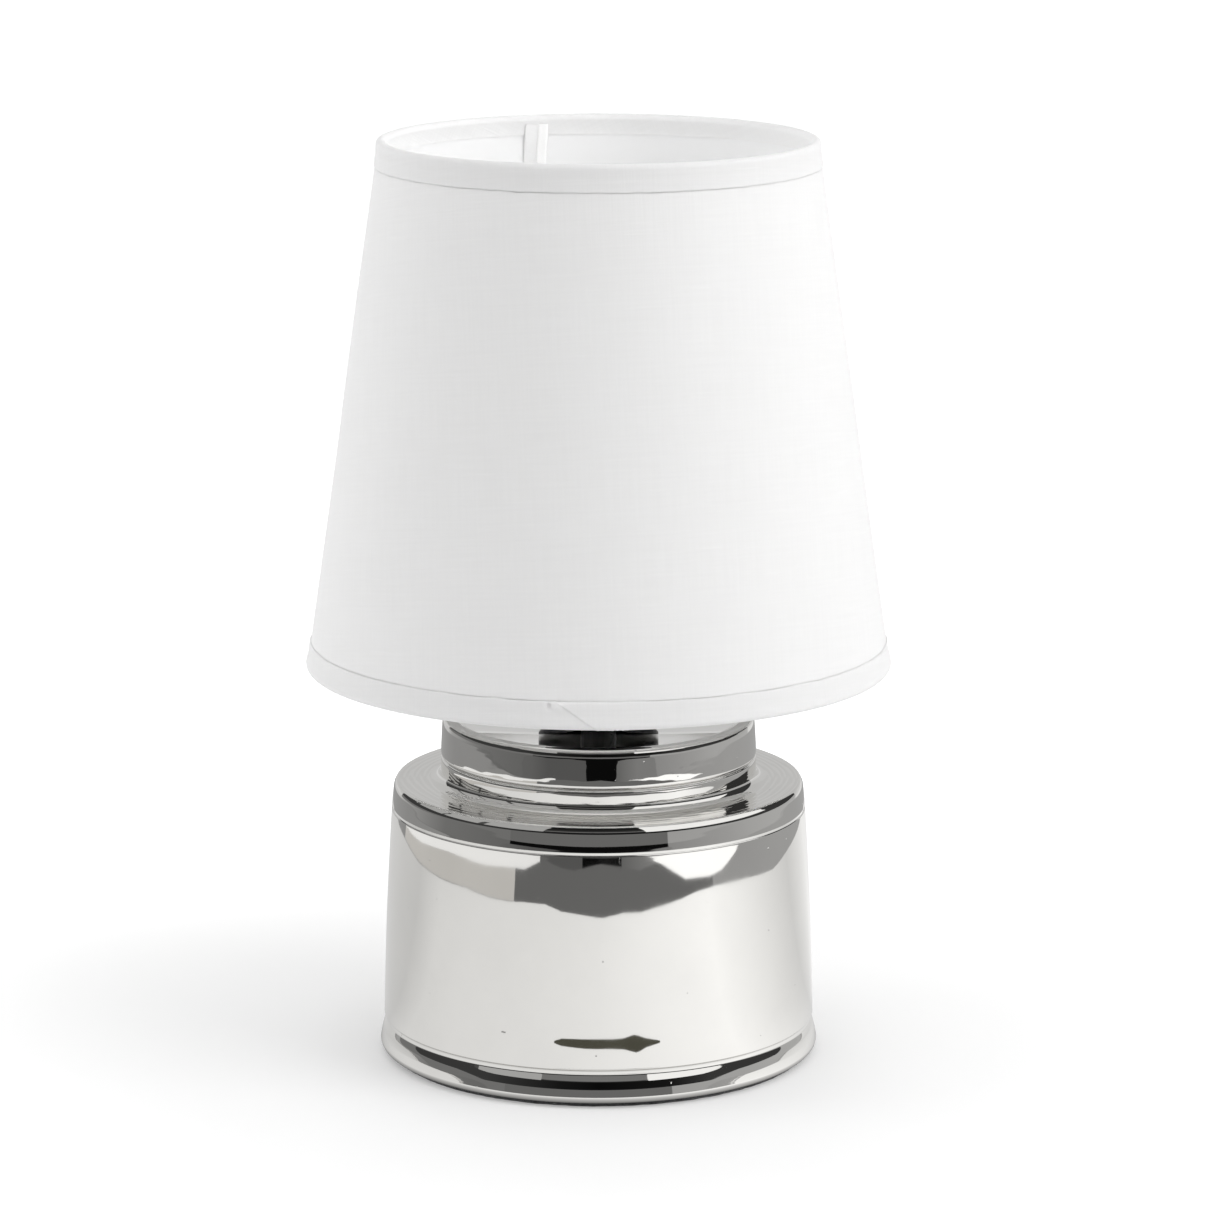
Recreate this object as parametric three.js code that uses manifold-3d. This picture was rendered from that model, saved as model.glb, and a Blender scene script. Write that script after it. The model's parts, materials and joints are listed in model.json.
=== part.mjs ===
// Small table lamp: metallised ceramic base, candle-size lamp holder and a white tapered fabric shade.
// Millimetres, +Z up. The origin is the centre of the pad's underside, where the lamp stands.
import * as THREE from "three";
import { mergeVertices } from "three/addons/utils/BufferGeometryUtils.js";
import Module from "manifold-3d";

const wasm = await Module();
wasm.setup();

// Clearances between neighbouring pieces
const seatGap = 0.3;
const layerGap = 0.2;
const threadClearance = 0.3;

// Number of sides of round pieces, by how large they are
const wideSides = 40;
const ringSides = 24;
const smallSides = 20;
const screwSides = 12;
const wireSides = 6;

// Number of steps of curves in a profile
const edgeSteps = 3;
const coveSteps = 2;
const footSteps = 2;
const wallSteps = 4;
const insideWallSteps = 3;
const globeSteps = 8;
const globeInsideSteps = 6;
const hemRollSteps = 5;
const hemInsideSteps = 3;

// Base: pad and closing board
const padThickness = 1.0;
const padInset = 2.6;
const boardThickness = 2.5;
const ledgeWidth = 2.4;
const ledgeThickness = 3.0;
const rimWidth = 4.8;

// Base: slip-cast ceramic shell
const wallThickness = 4.4;
const footRadius = 64.25;
const footEdgeRadius = 2.0;
const footTopRadius = 62.55;
const footTopHeight = 9.8;
const footSwell = 0.2;
const footGroove = 0.6;
const bodyRadius = 63.1;
const bodyStartHeight = 11.3;
const bodySwell = 0.35;
const creaseRadius = 60.45;
const creaseHeight = 73.2;
const shoulderRadius = 59.85;
const shoulderHeight = 81.3;
const shoulderEdgeRadius = 2.5;
const shoulderTilt = 9;
const coveRadius = 3.0;
const neckRadius = 46.0;
const neckDraft = 0.5;
const neckTopHeight = 100.0;
const neckEdgeRadius = 2.4;
const neckGrooveHeight = 88.4;
const neckGrooveDepth = 0.4;
const neckGrooveHalfWidth = 0.5;
const neckRimWidth = 4.4;
const neckDish = 0.6;
const neckDishSlope = 1.2;
const neckHoleRadius = 5.6;

// Cable gland in the back of the base
const glandHeight = 22.0;
const glandHoleRadius = 5.1;
const glandBoreRadius = 3.2;
const glandFlangeRadius = 6.6;
const glandFlangeThickness = 2.0;
const glandClipRadius = 5.7;
const glandClipThickness = 1.4;

// Threaded nipple M10x1 and what clamps on it
const nippleRadius = 5.0;
const nippleBoreRadius = 4.0;
const nippleEndLength = 2.2;
const capRadius = 17.0;
const capCrownRadius = 10.9;
const capHeight = 3.5;
const capSheet = 0.8;
const washerRadius = 11.0;
const washerThickness = 1.5;
const lockWasherRadius = 8.8;
const lockWasherThickness = 0.8;
const nutAcrossFlats = 14.0;
const nutThickness = 3.0;

// Lamp holder for the small Edison screw
const holderCapRadius = 13.5;
const holderCapBottomRadius = 10.5;
const holderCapHeight = 15.2;
const holderCapFloor = 6.0;
const holderCapChamfer = 3.5;
const holderCapWall = 2.1;
const grubRadius = 1.4;
const grubLength = 5.0;
const grubHeight = 3.4;
const coreRadius = 10.8;
const coreFlangeThickness = 2.0;
const coreLowerLength = 6.8;
const coreUpperLength = 4.0;
const skirtThreadRadius = 13.8;
const skirtWall = 2.2;
const skirtSleeveWall = 1.8;
const skirtSleeveOverlap = 9.0;
const skirtShoulderRadius = 17.0;
const skirtShoulderThickness = 2.0;
const skirtShoulderHeight = 30.0;
const skirtTopHeight = 55.0;
const terminalOffset = 4.0;
const terminalShankRadius = 1.5;
const terminalHeadRadius = 2.2;
const terminalHeadThickness = 1.6;
const terminalSlotWidth = 0.6;
const terminalSlotDepth = 0.6;

// Screw thread shared by the holder's shell and the bulb's cap
const screwPitch = 2.822;
const screwCrestRadius = 6.945;
const screwRootRadius = 6.145;
const threadStepsPerTurn = 5;
const shellSheet = 0.9;
const shellFlangeThickness = 0.6;
const shellHoleRadius = 3.6;
const contactWidth = 4.0;
const contactHeight = 2.2;
const contactSheet = 0.5;
const contactSpan = 5.0;

// Bulb: small opal globe
const eyeletRadius = 2.4;
const eyeletTipRadius = 1.7;
const eyeletHeight = 1.5;
const eyeletTipHeight = 0.3;
const insulatorTopRadius = 5.7;
const insulatorHeight = 2.8;
const bulbThreadLength = 14.8;
const bulbCapPlainLength = 2.6;
const bulbCapFlareRadius = 8.2;
const bulbCapFlareHeight = 1.0;
const bulbCapBoreRadius = 5.2;
const bulbCapPlainInset = 0.1;
const collarFlareHeight = 9.6;
const collarWall = 1.6;
const collarFootRadius = 8.6;
const collarClearance = 1.6;
const ledBoardThickness = 1.2;
const globeRadius = 22.5;
const globeWall = 1.0;
const bulbLength = 80.0;

// Shade ring that clamps the shade on the holder
const shadeRingRadius = 21.0;
const shadeRingHubRadius = 17.4;
const shadeRingFlangeThickness = 3.2;
const shadeRingHeight = 8.0;
const shadeRingRibs = 30;
const shadeRingRibDepth = 0.7;

// Shade: tapered fabric drum on two wires, with a fitter and three arms
const shadeBottomHeight = 115.1;
const shadeTopHeight = 268.5;
const shadeBottomRadius = 85.0;
const shadeTopRadius = 63.5;
const rollRadius = 1.45;
const hemSheet = 0.4;
const fabricSheet = 0.4;
const linerSheet = 0.5;
const wireRadius = 0.85;
const hemHeight = 6.6;
const hemFoldHeight = 4.6;
const seamWidth = 7.0;
const seamAzimuth = 107.5;
const fitterRadius = 21.5;
const fitterThickness = 1.5;
const armCount = 3;
const firstArmAzimuth = 90.0;
const armRadius = 1.0;
const armWeldLength = 3.2;
const armSides = 8;
const armSteps = 12;
const armFlatLength = 10.0;
const armFootRise = 1.0;

// Heights that follow from the sizes above
const rimHeight = padThickness + seatGap;
const ledgeHeight = rimHeight + boardThickness + seatGap;
const neckFloorHeight = neckTopHeight - neckDish;
const neckUndersideHeight = neckFloorHeight - wallThickness;
const capBaseHeight = neckFloorHeight + seatGap;
const holderHeight = capBaseHeight + capHeight + seatGap;
const coreFlangeBottom = holderCapHeight + seatGap;
const coreTop = coreFlangeBottom + coreFlangeThickness + coreUpperLength;
const shellBase = coreTop + seatGap;
const contactTop = shellBase + contactHeight;
const bulbHeight = holderHeight + contactTop + seatGap;
const fitterHeight = holderHeight + skirtShoulderHeight + seatGap;
const shadeRingHeightAbove = fitterHeight + fitterThickness + seatGap;
const recessRadius = footRadius - rimWidth;

// Closes a geometry: only positions, shared vertices merged, no flat triangles, faces pointing out.
function closed(geometry) {
  const bare = new THREE.BufferGeometry();
  bare.setAttribute("position", geometry.getAttribute("position"));
  bare.setIndex(geometry.getIndex());
  const merged = mergeVertices(bare, 1e-4);
  const position = merged.getAttribute("position");
  const source = merged.getIndex().array;
  const kept = [];
  let volume = 0;
  const [a, b, c] = [new THREE.Vector3(), new THREE.Vector3(), new THREE.Vector3()];
  for (let i = 0; i < source.length; i += 3) {
    const [p, q, r] = [source[i], source[i + 1], source[i + 2]];
    if (p === q || q === r || r === p) continue;
    kept.push(p, q, r);
    a.fromBufferAttribute(position, p);
    b.fromBufferAttribute(position, q);
    c.fromBufferAttribute(position, r);
    volume += a.dot(b.cross(c));
  }
  merged.setIndex(volume < 0 ? kept.reverse() : kept);
  return merged;
}

// Solid of revolution about +Z from [radius, height] points, which start and end on the axis or close.
function turned(profile, sides) {
  const points = profile.map(([radius, height]) => new THREE.Vector2(radius, height));
  if (points[0].x > 0) points.push(points[0].clone());
  const geometry = new THREE.LatheGeometry(points, sides);
  geometry.rotateX(Math.PI / 2);
  return closed(geometry);
}

// Flat ring or disc with straight sides.
function washer(inner, outer, bottom, thickness, sides) {
  const top = bottom + thickness;
  return turned([[inner, bottom], [outer, bottom], [outer, top], [inner, top]], sides);
}

// Points of an arc in a profile, angles in degrees from the outward direction.
function arc(centreRadius, centreHeight, radius, from, to, steps) {
  const points = [];
  for (let i = 0; i <= steps; i += 1) {
    const angle = THREE.MathUtils.degToRad(from + ((to - from) * i) / steps);
    points.push([centreRadius + radius * Math.cos(angle), centreHeight + radius * Math.sin(angle)]);
  }
  return points;
}

// Straight round bar from one point to another.
function bar(start, end, radius, sides) {
  const length = start.distanceTo(end);
  const geometry = new THREE.CylinderGeometry(radius, radius, length, sides);
  const along = end.clone().sub(start).normalize();
  geometry.applyQuaternion(new THREE.Quaternion().setFromUnitVectors(new THREE.Vector3(0, 1, 0), along));
  const middle = start.clone().add(end).multiplyScalar(0.5);
  geometry.translate(middle.x, middle.y, middle.z);
  return closed(geometry);
}

function block(width, depth, height, x, y, z) {
  const geometry = new THREE.BoxGeometry(width, depth, height);
  geometry.translate(x, y, z);
  return closed(geometry);
}

function toManifold(geometry) {
  const mesh = new wasm.Mesh({
    numProp: 3,
    vertProperties: new Float32Array(geometry.getAttribute("position").array),
    triVerts: new Uint32Array(geometry.getIndex().array),
  });
  return new wasm.Manifold(mesh);
}

function fromManifold(manifold) {
  const mesh = manifold.getMesh();
  const geometry = new THREE.BufferGeometry();
  geometry.setAttribute("position", new THREE.BufferAttribute(new Float32Array(mesh.vertProperties), 3));
  geometry.setIndex(Array.from(mesh.triVerts));
  return closed(geometry);
}

function cut(geometry, ...tools) {
  let manifold = toManifold(geometry);
  for (const tool of tools) manifold = manifold.subtract(toManifold(tool));
  return fromManifold(manifold);
}

function joined(first, second) {
  return fromManifold(toManifold(first).add(toManifold(second)));
}

function common(first, second) {
  return fromManifold(toManifold(first).intersect(toManifold(second)));
}

// Radius part of the way along a straight taper that swells by a given amount in its middle.
function swollen(from, to, swell, share) {
  return from + (to - from) * share + 4 * swell * share * (1 - share);
}

// Outer radius of the body wall.
function bodyRadiusAt(height) {
  const share = (height - bodyStartHeight) / (creaseHeight - bodyStartHeight);
  return swollen(bodyRadius, creaseRadius, bodySwell, share);
}

function bodyWall(offset, from, to, steps) {
  const points = [];
  for (let i = 0; i <= steps; i += 1) {
    const height = from + ((to - from) * i) / steps;
    points.push([bodyRadiusAt(height) - offset, height]);
  }
  return points;
}

// Sloping side of the foot, above its rounded lower edge.
function footSide() {
  const start = rimHeight + footEdgeRadius;
  const points = [];
  for (let i = 1; i <= footSteps; i += 1) {
    const share = i / footSteps;
    const radius = swollen(footRadius, footTopRadius, footSwell, share);
    points.push([radius, start + (footTopHeight - start) * share]);
  }
  return points;
}

// Outside of the ceramic from the rim of the foot up to the edge of the neck's dish.
function baseOutside() {
  const footEdge = footRadius - footEdgeRadius;
  const shoulderEdge = shoulderRadius - shoulderEdgeRadius;
  const shoulderEdgeHeight = shoulderHeight - shoulderEdgeRadius;
  const neckEdge = neckRadius - neckDraft - neckEdgeRadius;
  return [
    ...arc(footEdge, rimHeight + footEdgeRadius, footEdgeRadius, -90, 0, coveSteps),
    ...footSide(),
    [bodyRadius - footGroove, (footTopHeight + bodyStartHeight) / 2],
    ...bodyWall(0, bodyStartHeight, creaseHeight, wallSteps),
    ...arc(shoulderEdge, shoulderEdgeHeight, shoulderEdgeRadius, shoulderTilt, 90, edgeSteps),
    ...arc(neckRadius + coveRadius, shoulderHeight + coveRadius, coveRadius, 270, 180, coveSteps),
    [neckRadius, neckGrooveHeight - neckGrooveHalfWidth],
    [neckRadius - neckGrooveDepth, neckGrooveHeight],
    [neckRadius, neckGrooveHeight + neckGrooveHalfWidth],
    ...arc(neckEdge, neckTopHeight - neckEdgeRadius, neckEdgeRadius, 0, 90, edgeSteps),
    [neckRadius - neckRimWidth, neckTopHeight],
    [neckRadius - neckRimWidth - neckDishSlope, neckFloorHeight],
  ];
}

// Inside of the ceramic from the nipple's hole down to the recess for the board.
function baseInside() {
  const neckInside = neckRadius - wallThickness;
  const shoulderUnderside = shoulderHeight - wallThickness;
  const bodyInsideTop = shoulderUnderside - coveRadius;
  return [
    [neckHoleRadius, neckFloorHeight],
    [neckHoleRadius, neckUndersideHeight],
    [neckInside - coveRadius, neckUndersideHeight],
    [neckInside, neckUndersideHeight - coveRadius],
    [neckInside, shoulderUnderside],
    [bodyRadiusAt(bodyInsideTop) - wallThickness - coveRadius, shoulderUnderside],
    ...bodyWall(wallThickness, bodyInsideTop, ledgeHeight + ledgeThickness + ledgeWidth, insideWallSteps),
    [recessRadius - ledgeWidth, ledgeHeight + ledgeThickness],
    [recessRadius - ledgeWidth, ledgeHeight],
    [recessRadius, ledgeHeight],
    [recessRadius, rimHeight],
  ];
}

function baseShell() {
  const shell = turned([...baseOutside(), ...baseInside()], wideSides);
  const outside = new THREE.Vector3(0, footRadius + glandFlangeRadius, glandHeight);
  const inside = new THREE.Vector3(0, footRadius / 2, glandHeight);
  return cut(shell, bar(inside, outside, glandHoleRadius, smallSides));
}

// Snap-in gland: outer flange, barrel through the wall and a clip behind it, lying along +Y.
function cableGland() {
  const seat = bodyRadiusAt(glandHeight) + seatGap;
  const insideRadius = bodyRadiusAt(glandHeight) - wallThickness;
  const clipFace = Math.sqrt(insideRadius ** 2 - glandClipRadius ** 2) - seatGap;
  const barrel = glandHoleRadius - seatGap;
  const rounding = glandFlangeThickness / 3;
  const gland = turned([
    [glandBoreRadius, clipFace - glandClipThickness],
    [barrel, clipFace - glandClipThickness],
    [glandClipRadius, clipFace],
    [barrel, clipFace],
    [barrel, seat],
    [glandFlangeRadius, seat],
    [glandFlangeRadius, seat + glandFlangeThickness - rounding],
    [glandFlangeRadius - rounding, seat + glandFlangeThickness],
    [glandBoreRadius, seat + glandFlangeThickness],
  ], smallSides);
  gland.rotateX(-Math.PI / 2);
  gland.translate(0, 0, glandHeight);
  return gland;
}

// Moulded cap that covers the hole in the neck.
function neckCap() {
  const hole = nippleRadius + seatGap;
  return turned([
    [capRadius, 0],
    [capRadius, capSheet],
    [capCrownRadius, capHeight],
    [hole, capHeight],
    [hole, capHeight - capSheet],
    [capCrownRadius - capSheet / 2, capHeight - capSheet],
    [capRadius - capSheet, 0],
  ], ringSides);
}

function hexNut(bottom) {
  const shape = new THREE.Shape();
  const corner = nutAcrossFlats / 2 / Math.cos(Math.PI / 6);
  for (let i = 0; i < 6; i += 1) {
    const angle = (i * Math.PI) / 3;
    if (i === 0) shape.moveTo(corner, 0);
    else shape.lineTo(corner * Math.cos(angle), corner * Math.sin(angle));
  }
  const hole = new THREE.Path();
  hole.absarc(0, 0, nippleRadius + seatGap, 0, 2 * Math.PI, true);
  shape.holes.push(hole);
  const nut = new THREE.ExtrudeGeometry(shape, {
    depth: nutThickness, bevelEnabled: false, curveSegments: screwSides,
  });
  nut.translate(0, 0, bottom);
  return closed(nut);
}

// Bottom cup of the holder, screwed on the nipple and locked by a grub screw.
function holderCap() {
  const hole = nippleRadius + seatGap;
  const inside = holderCapRadius - holderCapWall;
  const cup = turned([
    [hole, 0],
    [holderCapBottomRadius, 0],
    [holderCapRadius, holderCapChamfer],
    [holderCapRadius, holderCapHeight],
    [inside, holderCapHeight],
    [inside, holderCapFloor],
    [hole, holderCapFloor],
  ], ringSides);
  const start = new THREE.Vector3(0, 0, grubHeight);
  const end = new THREE.Vector3(0, 2 * holderCapRadius, grubHeight);
  return cut(cup, bar(start, end, grubRadius + seatGap, screwSides));
}

function grubScrew() {
  const start = new THREE.Vector3(0, nippleRadius + seatGap, grubHeight);
  const end = new THREE.Vector3(0, nippleRadius + seatGap + grubLength, grubHeight);
  return bar(start, end, grubRadius, screwSides);
}

// Insulating block that carries the contacts, clamped by its flange between cup and skirt.
function holderCore() {
  const flange = holderCapRadius - seatGap;
  const flangeTop = coreFlangeBottom + coreFlangeThickness;
  const bottom = coreFlangeBottom - coreLowerLength;
  const core = turned([
    [0, bottom],
    [coreRadius, bottom],
    [coreRadius, coreFlangeBottom],
    [flange, coreFlangeBottom],
    [flange, flangeTop],
    [coreRadius, flangeTop],
    [coreRadius, coreTop],
    [0, coreTop],
  ], ringSides);
  const tools = [];
  for (const side of [-1, 1]) {
    const height = coreFlangeBottom - coreLowerLength / 2;
    const point = (distance) => new THREE.Vector3(side * distance, 0, height);
    const headSeat = coreRadius - terminalHeadThickness - 2 * seatGap;
    const outside = point(2 * coreRadius);
    tools.push(bar(point(terminalOffset - seatGap), outside, terminalShankRadius + seatGap, screwSides));
    tools.push(bar(point(headSeat), outside, terminalHeadRadius + seatGap, screwSides));
  }
  return cut(core, ...tools);
}

// Slotted terminal screw lying along X in the side of the core.
function terminalScrew(side) {
  const height = coreFlangeBottom - coreLowerLength / 2;
  const headInner = coreRadius - terminalHeadThickness - seatGap;
  const headOuter = coreRadius - seatGap;
  const point = (distance) => new THREE.Vector3(side * distance, 0, height);
  const shankEnd = point(headInner + terminalHeadThickness / 2);
  const shank = bar(point(terminalOffset), shankEnd, terminalShankRadius, screwSides);
  const head = bar(point(headInner), point(headOuter), terminalHeadRadius, screwSides);
  const slotLength = 3 * terminalHeadRadius;
  const slot = block(2 * terminalSlotDepth, slotLength, terminalSlotWidth, side * headOuter, 0, height);
  return cut(joined(shank, head), slot);
}

// Outer skirt of the holder: sleeve over the cup, shoulder for the shade and a threaded neck.
function holderSkirt() {
  const sleeveInside = holderCapRadius + threadClearance;
  const sleeveOutside = sleeveInside + skirtSleeveWall;
  const step = coreFlangeBottom + coreFlangeThickness + seatGap;
  const inside = skirtThreadRadius - skirtWall;
  const sleeveBottom = holderCapHeight - skirtSleeveOverlap;
  const sleeveTop = step + skirtWall;
  return turned([
    [sleeveInside, sleeveBottom],
    [sleeveOutside, sleeveBottom],
    [sleeveOutside, sleeveTop],
    [skirtThreadRadius, sleeveTop + skirtSleeveWall],
    [skirtThreadRadius, skirtShoulderHeight - skirtShoulderThickness],
    [skirtShoulderRadius, skirtShoulderHeight - skirtShoulderThickness],
    [skirtShoulderRadius, skirtShoulderHeight],
    [skirtThreadRadius, skirtShoulderHeight],
    [skirtThreadRadius, skirtTopHeight],
    [inside, skirtTopHeight],
    [inside, step],
    [sleeveInside, step],
  ], ringSides);
}

// Rounded right-hand helical wave, 0 in the groove and 1 on the crest.
function threadWave(height, angle) {
  const turn = height / screwPitch - angle / (2 * Math.PI);
  return 0.5 + 0.5 * Math.cos(2 * Math.PI * turn);
}

// 1 over most of a thread, falling to 0 over its first and last turn.
function threadFade(height, bottom, top) {
  return THREE.MathUtils.clamp(Math.min(height - bottom, top - height) / screwPitch, 0, 1);
}

// Closed tube with a formed wall, whose radius is a function of height and angle, and a plain wall.
function formedTube(bottom, top, plainRadius, radiusAt) {
  const rows = Math.ceil(((top - bottom) / screwPitch) * threadStepsPerTurn);
  const corners = [];
  const triangles = [];
  const addRing = (height, ringRadiusAt) => {
    for (let i = 0; i < smallSides; i += 1) {
      const angle = (2 * Math.PI * i) / smallSides;
      const radius = ringRadiusAt(height, angle);
      corners.push(radius * Math.cos(angle), radius * Math.sin(angle), height);
    }
  };
  const bridge = (low, high) => {
    for (let i = 0; i < smallSides; i += 1) {
      const next = (i + 1) % smallSides;
      triangles.push(low + i, low + next, high + next);
      triangles.push(low + i, high + next, high + i);
    }
  };
  for (let row = 0; row <= rows; row += 1) {
    addRing(bottom + ((top - bottom) * row) / rows, radiusAt);
    if (row > 0) bridge((row - 1) * smallSides, row * smallSides);
  }
  const formedTop = rows * smallSides;
  const plainTop = formedTop + smallSides;
  const plainBottom = plainTop + smallSides;
  addRing(top, () => plainRadius);
  addRing(bottom, () => plainRadius);
  bridge(formedTop, plainTop);
  bridge(plainTop, plainBottom);
  bridge(plainBottom, 0);
  const geometry = new THREE.BufferGeometry();
  geometry.setAttribute("position", new THREE.Float32BufferAttribute(corners, 3));
  geometry.setIndex(triangles);
  return closed(geometry);
}

// Threaded metal shell of the holder, with a flange on the core. Heights are the bulb's own.
function screwShell() {
  const offset = bulbHeight - holderHeight;
  const bottom = shellBase - offset;
  const top = bulbCapTop - bulbCapFlareHeight;
  const threadRoot = screwCrestRadius + threadClearance;
  const depth = screwCrestRadius - screwRootRadius;
  const outside = threadRoot + shellSheet;
  const innerAt = (height, angle) => (
    threadRoot - depth * threadFade(height, bottom, top) * (1 - threadWave(height, angle))
  );
  const wall = formedTube(bottom, top, outside, innerAt);
  const flangeRadius = (threadRoot + outside) / 2;
  const flange = washer(shellHoleRadius, flangeRadius, bottom, shellFlangeThickness, smallSides);
  const shell = joined(wall, flange);
  shell.translate(0, 0, offset);
  return shell;
}

// Bent contact tongue under the bulb.
function centreContact() {
  const half = contactSpan / 2;
  const shape = new THREE.Shape();
  shape.moveTo(-half, 0);
  shape.lineTo(half, 0);
  shape.lineTo(half, contactSheet);
  shape.lineTo(-half + 2 * contactSheet, contactSheet);
  shape.lineTo(half / 2, contactHeight - contactSheet);
  shape.lineTo(half / 2, contactHeight);
  shape.lineTo(-half / 2, contactHeight);
  shape.lineTo(-half, contactSheet);
  const tongue = new THREE.ExtrudeGeometry(shape, { depth: contactWidth, bevelEnabled: false });
  tongue.rotateX(Math.PI / 2);
  tongue.translate(0, contactWidth / 2, shellBase);
  return closed(tongue);
}

// Heights and radii of the bulb's pieces, with the eyelet's underside at height 0
const insulatorBase = eyeletHeight + seatGap;
const bulbCapBase = insulatorBase + insulatorHeight + seatGap;
const bulbThreadTop = bulbCapBase + bulbThreadLength;
const bulbCapTop = bulbThreadTop + bulbCapPlainLength;
const collarBase = bulbCapTop + seatGap;
const collarWaist = holderHeight + skirtTopHeight - bulbHeight + seatGap;
const collarWaistRadius = skirtThreadRadius - skirtWall - collarClearance;
const collarTop = collarWaist + collarFlareHeight;
const globeCentre = bulbLength - globeRadius;
const globeDrop = globeCentre - collarTop - seatGap;
const globeInside = globeRadius - globeWall;
const collarTopRadius = Math.sqrt(globeRadius ** 2 - globeDrop ** 2);
const ledBoardRadius = Math.sqrt(globeInside ** 2 - globeDrop ** 2) - seatGap;

function bulbEyelet() {
  return turned([
    [0, 0],
    [eyeletTipRadius, eyeletTipHeight],
    [eyeletRadius, eyeletHeight / 2],
    [eyeletRadius, eyeletHeight],
    [0, eyeletHeight],
  ], smallSides);
}

function bulbInsulator() {
  return turned([
    [0, insulatorBase],
    [eyeletRadius + seatGap, insulatorBase],
    [insulatorTopRadius, insulatorBase + insulatorHeight],
    [0, insulatorBase + insulatorHeight],
  ], smallSides);
}

// Threaded metal cap of the bulb, flared where the collar sits on it.
function bulbCap() {
  const depth = screwCrestRadius - screwRootRadius;
  const plainRadius = screwRootRadius - bulbCapPlainInset;
  const overlap = bulbCapPlainLength / 4;
  const outerAt = (height, angle) => (
    screwRootRadius + depth * threadFade(height, bulbCapBase, bulbThreadTop) * threadWave(height, angle)
  );
  const thread = formedTube(bulbCapBase, bulbThreadTop, bulbCapBoreRadius, outerAt);
  const skirt = turned([
    [bulbCapBoreRadius, bulbThreadTop - overlap],
    [plainRadius, bulbThreadTop - overlap],
    [plainRadius, bulbCapTop - bulbCapFlareHeight],
    [bulbCapFlareRadius, bulbCapTop],
    [bulbCapBoreRadius, bulbCapTop],
  ], smallSides);
  return joined(thread, skirt);
}

// Plastic collar of the bulb, an open cup that widens above the holder.
function bulbCollar() {
  const floor = collarBase + collarWall;
  return turned([
    [0, collarBase],
    [collarFootRadius, collarBase],
    [collarWaistRadius, collarWaist],
    [collarTopRadius, collarTop],
    [collarTopRadius - collarWall, collarTop],
    [collarWaistRadius - collarWall, collarWaist],
    [collarFootRadius - collarWall, floor],
    [0, floor],
  ], ringSides);
}

// Opal globe, open where it meets the collar.
function bulbGlobe() {
  const outerStart = -THREE.MathUtils.radToDeg(Math.asin(globeDrop / globeRadius));
  const innerStart = -THREE.MathUtils.radToDeg(Math.asin(globeDrop / globeInside));
  const outer = arc(0, globeCentre, globeRadius, outerStart, 90, globeSteps);
  const inner = arc(0, globeCentre, globeInside, 90, innerStart, globeInsideSteps);
  outer[outer.length - 1][0] = 0;
  inner[0][0] = 0;
  return turned([...outer, ...inner], ringSides);
}

// Shade ring: hub with a ribbed flange.
function shadeRing() {
  const bore = skirtThreadRadius + threadClearance;
  const shape = new THREE.Shape();
  const points = [];
  for (let i = 0; i < 2 * shadeRingRibs; i += 1) {
    const angle = (Math.PI * i) / shadeRingRibs;
    const radius = shadeRingRadius - (i % 2) * shadeRingRibDepth;
    points.push(new THREE.Vector2(radius * Math.cos(angle), radius * Math.sin(angle)));
  }
  shape.setFromPoints(points);
  const hole = new THREE.Path();
  hole.absarc(0, 0, (bore + shadeRingHubRadius) / 2, 0, 2 * Math.PI, true);
  shape.holes.push(hole);
  const flange = new THREE.ExtrudeGeometry(shape, {
    depth: shadeRingFlangeThickness, bevelEnabled: false, curveSegments: ringSides / 2,
  });
  const hub = washer(bore, shadeRingHubRadius, 0, shadeRingHeight, ringSides);
  return joined(closed(flange), hub);
}

// Slanted wall of the shade: s runs up the line between the two wires, d is out from it.
const lowWire = new THREE.Vector2(shadeBottomRadius - rollRadius, shadeBottomHeight + rollRadius);
const highWire = new THREE.Vector2(shadeTopRadius - rollRadius, shadeTopHeight - rollRadius);
const slantLength = lowWire.distanceTo(highWire);
const slantUp = highWire.clone().sub(lowWire).normalize();
const slantOut = new THREE.Vector2(slantUp.y, -slantUp.x);

function onSlant(s, d) {
  return [
    lowWire.x + slantUp.x * s + slantOut.x * d,
    lowWire.y + slantUp.y * s + slantOut.y * d,
  ];
}

// Sheet of the shade between two distances out from the line of the wires.
function slantSheet(from, to, inner, outer, sides) {
  return turned([onSlant(from, outer), onSlant(to, outer), onSlant(to, inner), onSlant(from, inner)], sides);
}

const linerOut = linerSheet / 2;
const fabricIn = linerOut + layerGap;
const foldOut = -linerOut - layerGap;
const sheetStart = wireRadius + seatGap;

// Hem tape folded round a wire: outer leg, roll and inner leg. Its legs run along the direction given.
function hem(wireAt, direction) {
  const s = (distance) => wireAt + direction * distance;
  const roll = (radius, steps) => {
    const points = [];
    for (let i = 0; i <= steps; i += 1) {
      const angle = (Math.PI * i) / steps;
      points.push(onSlant(s(-radius * Math.sin(angle)), radius * Math.cos(angle)));
    }
    return points;
  };
  const inside = rollRadius - hemSheet;
  return turned([
    onSlant(s(hemHeight), rollRadius),
    ...roll(rollRadius, hemRollSteps),
    onSlant(s(hemFoldHeight), foldOut - hemSheet),
    onSlant(s(hemFoldHeight), foldOut),
    ...roll(inside, hemInsideSteps).reverse(),
    onSlant(s(hemHeight), inside),
  ], wideSides);
}

function wire(centre) {
  const hoop = new THREE.TorusGeometry(centre.x, wireRadius, wireSides, wideSides);
  hoop.translate(0, 0, centre.y);
  return closed(hoop);
}

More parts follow.
